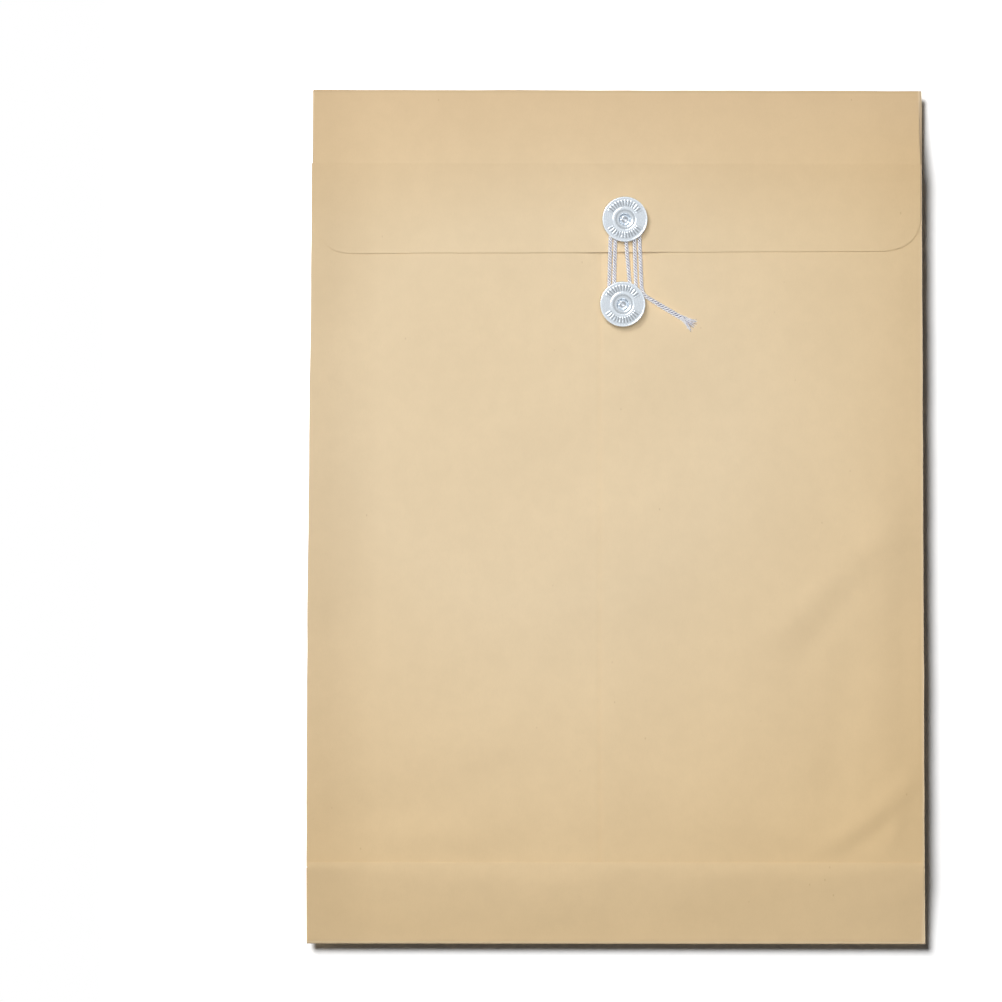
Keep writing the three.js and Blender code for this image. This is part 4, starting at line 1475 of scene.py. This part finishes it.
    def back_half(self, side: Side) -> None:
        """Makes one half of the back panel, folded down over the gusset at its outer edge.

        Args:
            side: Which half.
        """
        blank = self.blank
        sign = side.value
        radius, fold_inset, seam_press, lap_press, shift = 0.2, 0.25, 0.16, 0.05, 0.04
        centre_x = blank.half_width - fold_inset
        flat_z = blank.ridge_z + blank.ply / 2
        lap = blank.lap
        fine = ((blank.gusset_line, 6.0, 0.8), (lap, 4.0, 0.4), (-lap, 3.3, 0.3))
        start = blank.seam_shift - lap if side is Side.RIGHT else -lap
        profile = [(x, flat_z) for x in graded(start, centre_x, self.step, fine)]
        for angle in np.linspace(90, -80, 9)[1:]:
            cosine, sine = turned(angle)
            profile.append((centre_x + radius * cosine, flat_z - radius + radius * sine))
        line = np.array(profile)
        inward = line[None, :, 0]
        x = sign * inward
        y = graded(blank.ridge_y + 0.3, blank.crease_y, self.step)[:, None]
        z = line[None, :, 1] + self.back_relief(x, y)
        if side is Side.RIGHT:
            z = z + self._lap_lift(inward) - lap_press * (1 - smooth(inward, start, start + 1.0))
        else:
            z = z - seam_press * np.exp(-((inward - lap + blank.seam_shift - 0.2) / 1.2) ** 2)
        outer = self.edge_wander(y, 40 + sign, 0.14)
        outer = outer * smooth(inward, blank.half_width - 4, blank.half_width)
        points = spread(x + outer - sign * shift, y, z)[:, ::sign]
        piece = self._sheet(f"back_{side.label}_sheet", points, (f"back_{side.label}_panel",))
        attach(piece, "back")

    def leaves(self, side: Side) -> None:
        """Makes the two leaves of a side gusset, each with the fold that joins it to the one before.

        Args:
            side: Which side.
        """
        blank = self.blank
        cosine, sine = blank.lean
        lean = math.degrees(blank.opening)
        outer_x, outer_z = blank.half_width - blank.leaf_reach, blank.ply + blank.leaf_fold
        inner_x = outer_x - blank.leaf_width * cosine - blank.leaf_pitch * sine
        inner_z = outer_z + blank.leaf_width * sine + blank.leaf_pitch * cosine
        low = blank.leaf_setback - blank.half_length
        outer = self._leaf_line((outer_x, outer_z), (-90, 90 - lean), (-cosine, sine), blank.leaf_width)
        turns, length = (270 - lean, 90 + lean), blank.leaf_width - 0.1
        inner = self._leaf_line((inner_x, inner_z), turns, (cosine, sine), length)
        piece = self._leaf(f"{side.label}_outer_leaf", side, outer, outer_x, low)
        outer_body, inner_body = f"{side.label}_outer_gusset", f"{side.label}_inner_gusset"
        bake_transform(piece)
        piece = self._leaf(f"{side.label}_inner_leaf", side, inner, inner_x, low + blank.leaf_width)
        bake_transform(piece)

    def _leaf_line(self, axis: Spot, turns: Spot, ahead: Spot, length: float) -> Array:
        """The (x, z) line of a leaf on the right side: round its fold and then straight on.

        Args:
            axis: The fold's axis.
            turns: Where the fold starts and ends, in degrees.
            ahead: The leaf's direction.
            length: The leaf's width.

        Returns:
            The points of the line.
        """
        radius = self.blank.leaf_fold + self.blank.ply / 2
        angles = np.radians(np.linspace(*turns, 13))
        arc = np.stack([axis[0] + radius * np.cos(angles), axis[1] + radius * np.sin(angles)], axis=1)
        return np.vstack([arc, arc[-1] + np.array(ahead) * np.linspace(0, length, 9)[1:, None]])

    def _leaf(self, node: str, side: Side, line: Array, fold_x: float, low: float) -> Piece:
        """Makes a leaf from its section, with its lower end cut at 45 degrees.

        Args:
            node: Name of the CAD node.
            side: Which side.
            line: The (x, z) section of the right-hand leaf.
            fold_x: Where the fold is, from which the cut starts.
            low: The lower end at the fold.

        Returns:
            The sheet object.
        """
        away = np.maximum(np.abs(line[:, 0] - fold_x) - self.blank.leaf_reach, 0)
        share = np.linspace(0, 1, 96)[:, None]
        y = (low + away) + (self.blank.crease_y - low - away) * share
        points = spread(side.value * line[None, :, 0], y, line[None, :, 1])
        heading = np.cross(points[0, -1] - points[0, -2], points[1, -1] - points[0, -1])
        if heading[2] < 0:
            points = points[:, ::-1]
        return self._sheet(f"{node}_sheet", points, (node,), "kraft_inner")

    def _shares(self) -> Array:
        """Places across the width, from -1 to 1, as one row."""
        return graded(-1.0, 1.0, self.step / self.blank.half_width)[None, :]

    def _sheet(self, name: str, points: Array, nodes: tuple[str, ...], slot: str = "kraft_outer") -> Piece:
        """Makes a finished sheet from its middle surface, a little out of square as cut paper is.

        Args:
            name: Name of the object.
            points: The middle surface, true to the blank.
            nodes: The CAD nodes that it stands for.
            slot: Which paper it is made of: kraft_outer for the outside paper, any other for the inside one.

        Returns:
            The sheet object.
        """
        piece = MeshBuilder.sheet(name, self._out_of_square(points), self.blank.ply)
        paper = self.outside if slot == "kraft_outer" else self.inside
        return dress(piece, (paper,), nodes)

    def _out_of_square(self, points: Array) -> Array:
        """Draws the long edges in by a little, as on the photographed envelope."""
        x, y, z = (points[..., axis] for axis in range(3))
        left = self.left_inset * smooth(y, *self.left_draw)
        right = self.right_inset * smooth(z, *self.right_draw)
        inset = np.where(x < 0, left, right) * smooth(np.abs(x), *self.out_draw)
        return np.stack([x - np.sign(x) * inset, y, z], axis=-1)

    def tuck(self, side: Side) -> None:
        """Makes the tucked corner under the bottom ply as a copy of its CAD piece.

        Args:
            side: Which side.
        """
        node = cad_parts[f"{side.label}_bottom_tuck"]
        mesh = node.data.copy()
        mesh.transform(node.matrix_world)
        place = np.empty(len(mesh.vertices) * 3)
        mesh.vertices.foreach_get("co", place)
        moved = self._out_of_square(place.reshape(-1, 3) / MM) * MM
        mesh.vertices.foreach_set("co", moved.ravel())
        mesh.update()
        mesh.materials.clear()
        piece = bpy.data.objects.new(f"{side.label}_bottom_tuck_sheet", mesh)
        bpy.context.collection.objects.link(piece)
        dress(piece, (self.inside,), (node.name,))
        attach(piece, "bottom")

    def build(self) -> None:
        """Makes all the sheets."""
        self.cover()
        self.band()
        self.bottom_ply()
        for side in Side:
            self.back_half(side)
            self.leaves(side)
            self.tuck(side)


@dataclass(frozen=True)
class TieString:
    """The braided string: wound round both cups, with a loose tail whose end has frayed.

    The route repeats the one of the CAD source, from the same named sizes. The points of the tail
    and the tips of the frayed end are measured from the lower washer's centre.
    """

    blank: Blank
    upper: Spot
    lower: Spot
    cad_diameter: float = 1.5
    diameter: float = 1.7
    inner_loop: float = 3.5
    pitch: float = 1.92
    to_paper: float = 0.35
    lower_lift: float = 0.15
    end_gap: float = 0.3
    cup_wall: float = 2.6
    disc_radius: float = 8.8
    tail_bend: tuple[Spot, ...] = ((7.4, 6.9), (7.4, 4.1), (9.8, 2.7))
    tail: tuple[Spot, ...] = ((12.2, 1.25), (15.6, -0.8), (19.5, -3.1), (23.2, -5.3))
    tail_opening: float = 0.42
    tail_opens: Spot = (16.0, 8.0)
    tips: tuple[Spot, ...] = ((28.8, -6.5), (28.2, -8.4), (26.6, -10.2))
    spacing: float = 0.13
    yarns: int = 6
    braid_pitch: float = 3.4
    yarn_radius: float = 0.31
    ground_radius: float = 0.2
    weave: float = 0.1
    hairs: int = 84
    hair_thickness: Spot = (0.12, 0.065)

    @property
    def to_middle(self) -> float:
        """How far the string's middle lies over the paper under it."""
        return self.cad_diameter / 2 + self.to_paper

    @property
    def upper_z(self) -> float:
        """Height of the string's middle over the flap."""
        return self.blank.crease_z + self.blank.ply + self.to_middle

    @property
    def lower_z(self) -> float:
        """Height of the string's middle over the back panel."""
        return self.blank.back_outer_z + self.to_middle + self.lower_lift

    @property
    def tail_z(self) -> float:
        """Height of the middle of the tail."""
        return self.blank.ridge_z + self.blank.ply + self.to_middle

    @staticmethod
    def _run(start: Array, start_radius: float, end: Array, end_radius: float) -> tuple:
        """A straight run that leaves one loop and meets another on their outer side.

        Args:
            start: Centre of the first loop.
            start_radius: Its radius.
            end: Centre of the second loop.
            end_radius: Its radius.

        Returns:
            The first point, the last point and the bearing of both from their centres.
        """
        span = end - start
        reach = float(np.linalg.norm(span))
        ahead = span / reach
        aside = np.array([-ahead[1], ahead[0]])
        lean = math.asin((start_radius - end_radius) / reach)
        normal = ahead * math.sin(lean) + aside * math.cos(lean)
        return start + normal * start_radius, end + normal * end_radius, math.atan2(normal[1], normal[0])

    @staticmethod
    def _turn(centre: Array, radius: float, arriving: float, leaving: float) -> list[Array]:
        """Points clockwise round a cup, from one bearing to another."""
        steps = 20
        sweep = (arriving - leaving) % TURN
        angles = [arriving - sweep * step / steps for step in range(steps + 1)]
        return [centre + radius * np.array([math.cos(a), math.sin(a)]) for a in angles]

    @staticmethod
    def _between(start: Array, end: Array) -> list[Array]:
        """Points inside a straight run."""
        return [start + (end - start) * step / 8 for step in range(1, 8)]

    def route(self) -> Array:
        """The whole centre line of the string, from under the upper disc to the frayed end.

        Returns:
            Its points, evenly spaced.
        """
        upper, lower = np.array(self.upper), np.array(self.lower)
        inner, outer = self.inner_loop, self.inner_loop + self.pitch
        anchor = upper - np.array([0.0, self.cup_wall + self.end_gap])
        start, knee, end = (lower + np.array(point) for point in self.tail_bend)
        stops = [(anchor, 0.0), (lower, inner), (upper, inner), (lower, outer), (upper, outer), (start, 0.0)]
        runs = [self._run(*here, *after) for here, after in zip(stops, stops[1:])]
        flat = [anchor] + self._between(*runs[0][:2])
        for (centre, radius), arriving, leaving in zip(stops[1:], runs, runs[1:]):
            flat += self._turn(centre, radius, arriving[2], leaving[2]) + self._between(*leaving[:2])
        flat += [bend(start, knee, end, share) for share in np.linspace(0, 1, 9)]
        wound, tail = np.array(flat), lower + np.array(self.tail)
        low, high = self.lower[1] + self.disc_radius, self.upper[1] - self.disc_radius
        rise = np.clip((wound[:, 1] - low) / (high - low), 0, 1)
        settled = np.minimum(np.arange(1, len(tail) + 1) / 2, 1)
        wound_z = self.lower_z + (self.upper_z - self.lower_z) * rise
        tail_z = self.lower_z + (self.tail_z - self.lower_z) * settled
        line = np.vstack([np.column_stack([wound, wound_z]), np.column_stack([tail, tail_z])])
        return self._even(self._softened(line), self.spacing)

    @staticmethod
    def _softened(line: Array) -> Array:
        """Rounds the corners of a line without moving its ends."""
        dense = TieString._even(line, 0.5)
        for _ in range(4):
            dense[1:-1] = (dense[:-2] + 2 * dense[1:-1] + dense[2:]) / 4
        return dense

    @staticmethod
    def _even(line: Array, spacing: float) -> Array:
        """Gives a line evenly spaced points, at about the wanted distance from each other."""
        along = along_line(line)
        wanted = np.linspace(0, along[-1], max(2, round(along[-1] / spacing)))
        return np.stack([np.interp(wanted, along, line[:, axis]) for axis in range(3)], axis=1)

    def braid(self, line: Array) -> tuple[list[Array], list[Array]]:
        """Lays the yarns of the braid round the centre line, over one and under one.

        Args:
            line: The centre line.

        Returns:
            The line and the half sizes of each yarn, with a core first.
        """
        along = along_line(line)
        aside, above = directions(line)
        middle = self.diameter / 2 - self.yarn_radius - self.weave + 0.03
        start, end = (along[-1] - place for place in self.tail_opens)
        opened = 1 + self.tail_opening * smooth(along, start, end)
        lines = [line]
        sizes = [np.stack([middle * opened, np.full(len(line), middle)], axis=1)]
        half = self.yarns // 2
        for hand in (1, -1):
            for number in range(half):
                angle = hand * (TURN * (along / self.braid_pitch + number / half))
                over = hand * np.cos(self.yarns * math.pi * along / self.braid_pitch)
                radius = middle + self.weave * (0.6 * hand + 0.4 * over)
                sideways = aside * (radius * opened * np.cos(angle))[:, None]
                lines.append(line + (sideways + above * (radius * np.sin(angle))[:, None]))
                thick = self.yarn_radius if hand > 0 else self.ground_radius
                sizes.append(np.full((len(line), 2), thick))
        return lines, sizes

    @staticmethod
    def _finish(piece: Piece, materials: tuple[Material, ...], choice: Array, *nodes: str) -> None:
        """Gives each face of a string piece the material chosen for it, and lets the flap carry it."""
        dress(piece, materials, nodes)
        piece.data.polygons.foreach_set("material_index", choice.astype(np.int32))
        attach(piece, "flap")

    def cord(self, materials: tuple[Material, ...]) -> Piece:
        """Makes the wound string and its tail.

        Args:
            materials: What the core, the right-hand yarns and the left-hand yarns are made of; the dark core
                and left-hand yarns are painted shade in the gaps.

        Returns:
            The cord object.
        """
        line = self.route()
        lines, sizes = self.braid(line)
        piece = MeshBuilder.tubes("braided_string", lines, sizes, 6)
        count = len(piece.data.polygons)
        tube = np.arange(count) // (count // len(lines))
        self._finish(piece, materials, np.ceil(tube / (self.yarns // 2)), "tie_string", "string_tail")
        return piece

    def fray(self, materials: tuple[Material, ...]) -> Piece:
        """Makes the opened end of the string as loose hairs in three tufts.

        Args:
            materials: What most hairs and what one in four of them are made of; the dark one in four are
                painted shade among the hairs.

        Returns:
            The frayed end.
        """
        random = np.random.default_rng(4)
        line = self.route()
        end, heading = line[-1], line[-1] - line[-9]
        heading = heading / np.linalg.norm(heading)
        aside = np.cross(heading, [0, 0, 1.0])
        thin = np.linspace(*self.hair_thickness, 8)
        root, root_inset, tip_drop, lowest = 0.6, 0.12, 0.3, 0.9
        scatter = np.array([0.5, 0.5, 0.22])
        lines, sizes = [], []
        for hair in range(self.hairs):
            tuft = np.array(self.lower) + self.tips[hair % len(self.tips)]
            tip = np.array([*tuft, self.tail_z - tip_drop])
            angle = random.uniform(0, TURN)
            out = math.sqrt(random.uniform(0, 1)) * (self.diameter / 2 - root_inset)
            sideways = aside * out * (1 + self.tail_opening) * math.cos(angle)
            start = end - heading * root + sideways + np.array([0, 0, out * math.sin(angle)])
            strayed = random.normal(0, 1, 3) * scatter
            finish = end + (tip - end) * random.uniform(0.62, 1.02) + strayed
            finish[2] = max(finish[2], self.tail_z - lowest)
            knee = start + heading * random.uniform(1.2, 2.4) + random.normal(0, 0.16, 3)
            lines.append(bend(start, knee, finish, np.linspace(0, 1, 8)[:, None]))
            sizes.append(np.stack([thin, thin], axis=1))
        piece = MeshBuilder.tubes("frayed_string_end", lines, sizes, 4)
        count = len(piece.data.polygons)
        hairs = np.arange(count) * self.hairs // count
        self._finish(piece, materials, hairs % 4 == 3, "string_fray")
        return piece


def make_string(blank: Blank, upper: Spot, lower: Spot) -> list[Piece]:
    """Makes the string and its frayed end, and gives them their cotton.

    Args:
        blank: The folded blank.
        upper: Centre of the upper washer.
        lower: Centre of the lower washer.

    Returns:
        The two pieces.
    """
    string = TieString(blank, upper, lower)
    white = CottonFinish("white_cotton", (0.98, 0.98, 0.99), (0.88, 0.88, 0.94)).material()
    # The dark blue-grey yarns and core are painted shade, standing in for the shade in the gaps between the
    # white yarns.
    gap_shade = CottonFinish("gap_shade_cotton", (0.19, 0.19, 0.31), (0.13, 0.13, 0.23)).material()
    core = CottonFinish("core_shade_cotton", (0.18, 0.18, 0.28), (0.13, 0.13, 0.21)).material()
    return [string.cord((core, white, gap_shade)), string.fray((white, gap_shade))]


def make_washer(washer: Washer) -> None:
    """Makes a washer's disc and rivet, each of its own metal.

    Args:
        washer: Where it sits.
    """
    maker = WasherMaker()
    # Rings of painted highlight and shade: the disc brighter on its cup floor, bead and rim and darker at
    # the cup's mouth; the rivet darker round its bore and brighter on its petals.
    disc_shading_rings = (
        (1.2, 2.5, 1.3), (2.5, 3.15, 0.98), (3.15, 3.95, 0.68), (3.95, 4.75, 1.08), (7.95, 9.2, 1.18),
    )
    rivet_shading_rings = ((-1.0, 0.6, 1.05), (0.6, 1.35, 0.52), (1.35, 2.4, 1.2))
    name, blue, white = washer.prefix, (0.62, 0.67, 0.72), (0.7, 0.74, 0.79)
    disc = AluminiumFinish(f"{name}_disc_aluminium", blue, washer.centre, disc_shading_rings, maker.ticks)
    rivet = AluminiumFinish(f"{name}_rivet_aluminium", white, washer.centre, rivet_shading_rings, roughness=0.34)
    maker.disc(washer, disc.material())
    maker.rivet(washer, rivet.material())


def dress_patches() -> None:
    """Gives the CAD patches, which stay as they are, their card."""
    card = CardFinish("patch_card", (0.5, 0.38, 0.24)).material()
    for name in ("upper_patch", "lower_patch"):
        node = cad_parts[name]
        node.data.materials.clear()
        node.data.materials.append(card)


def main() -> None:
    """Builds the studio and every piece of the envelope."""
    logging.basicConfig(level=logging.INFO, format="%(name)s: %(message)s")
    blank = Blank()
    upper_x, lower_x, below_top, apart = 3.0, 2.2, 51.2, 33.0
    upper = (upper_x, blank.half_length - below_top)
    lower = (lower_x, upper[1] - apart)
    Studio().build(make_string(blank, upper, lower))
    outside = KraftFinish("kraft_outside", (0.84, 0.67, 0.44), blank).material()
    inside = KraftFinish("kraft_inside", (0.74, 0.58, 0.38), blank, roughness=0.8).material()
    PaperMaker(blank, outside, inside, (upper, lower)).build()
    stack = blank.ply + blank.glue + blank.patch
    make_washer(Washer("upper", upper, blank.crease_z + blank.ply, stack, "upper_washer", "flap"))
    stack += blank.seam_step
    make_washer(Washer("lower", lower, blank.back_outer_z, stack, "lower_washer", "back"))
    dress_patches()


if __name__ == "__main__":
    main()
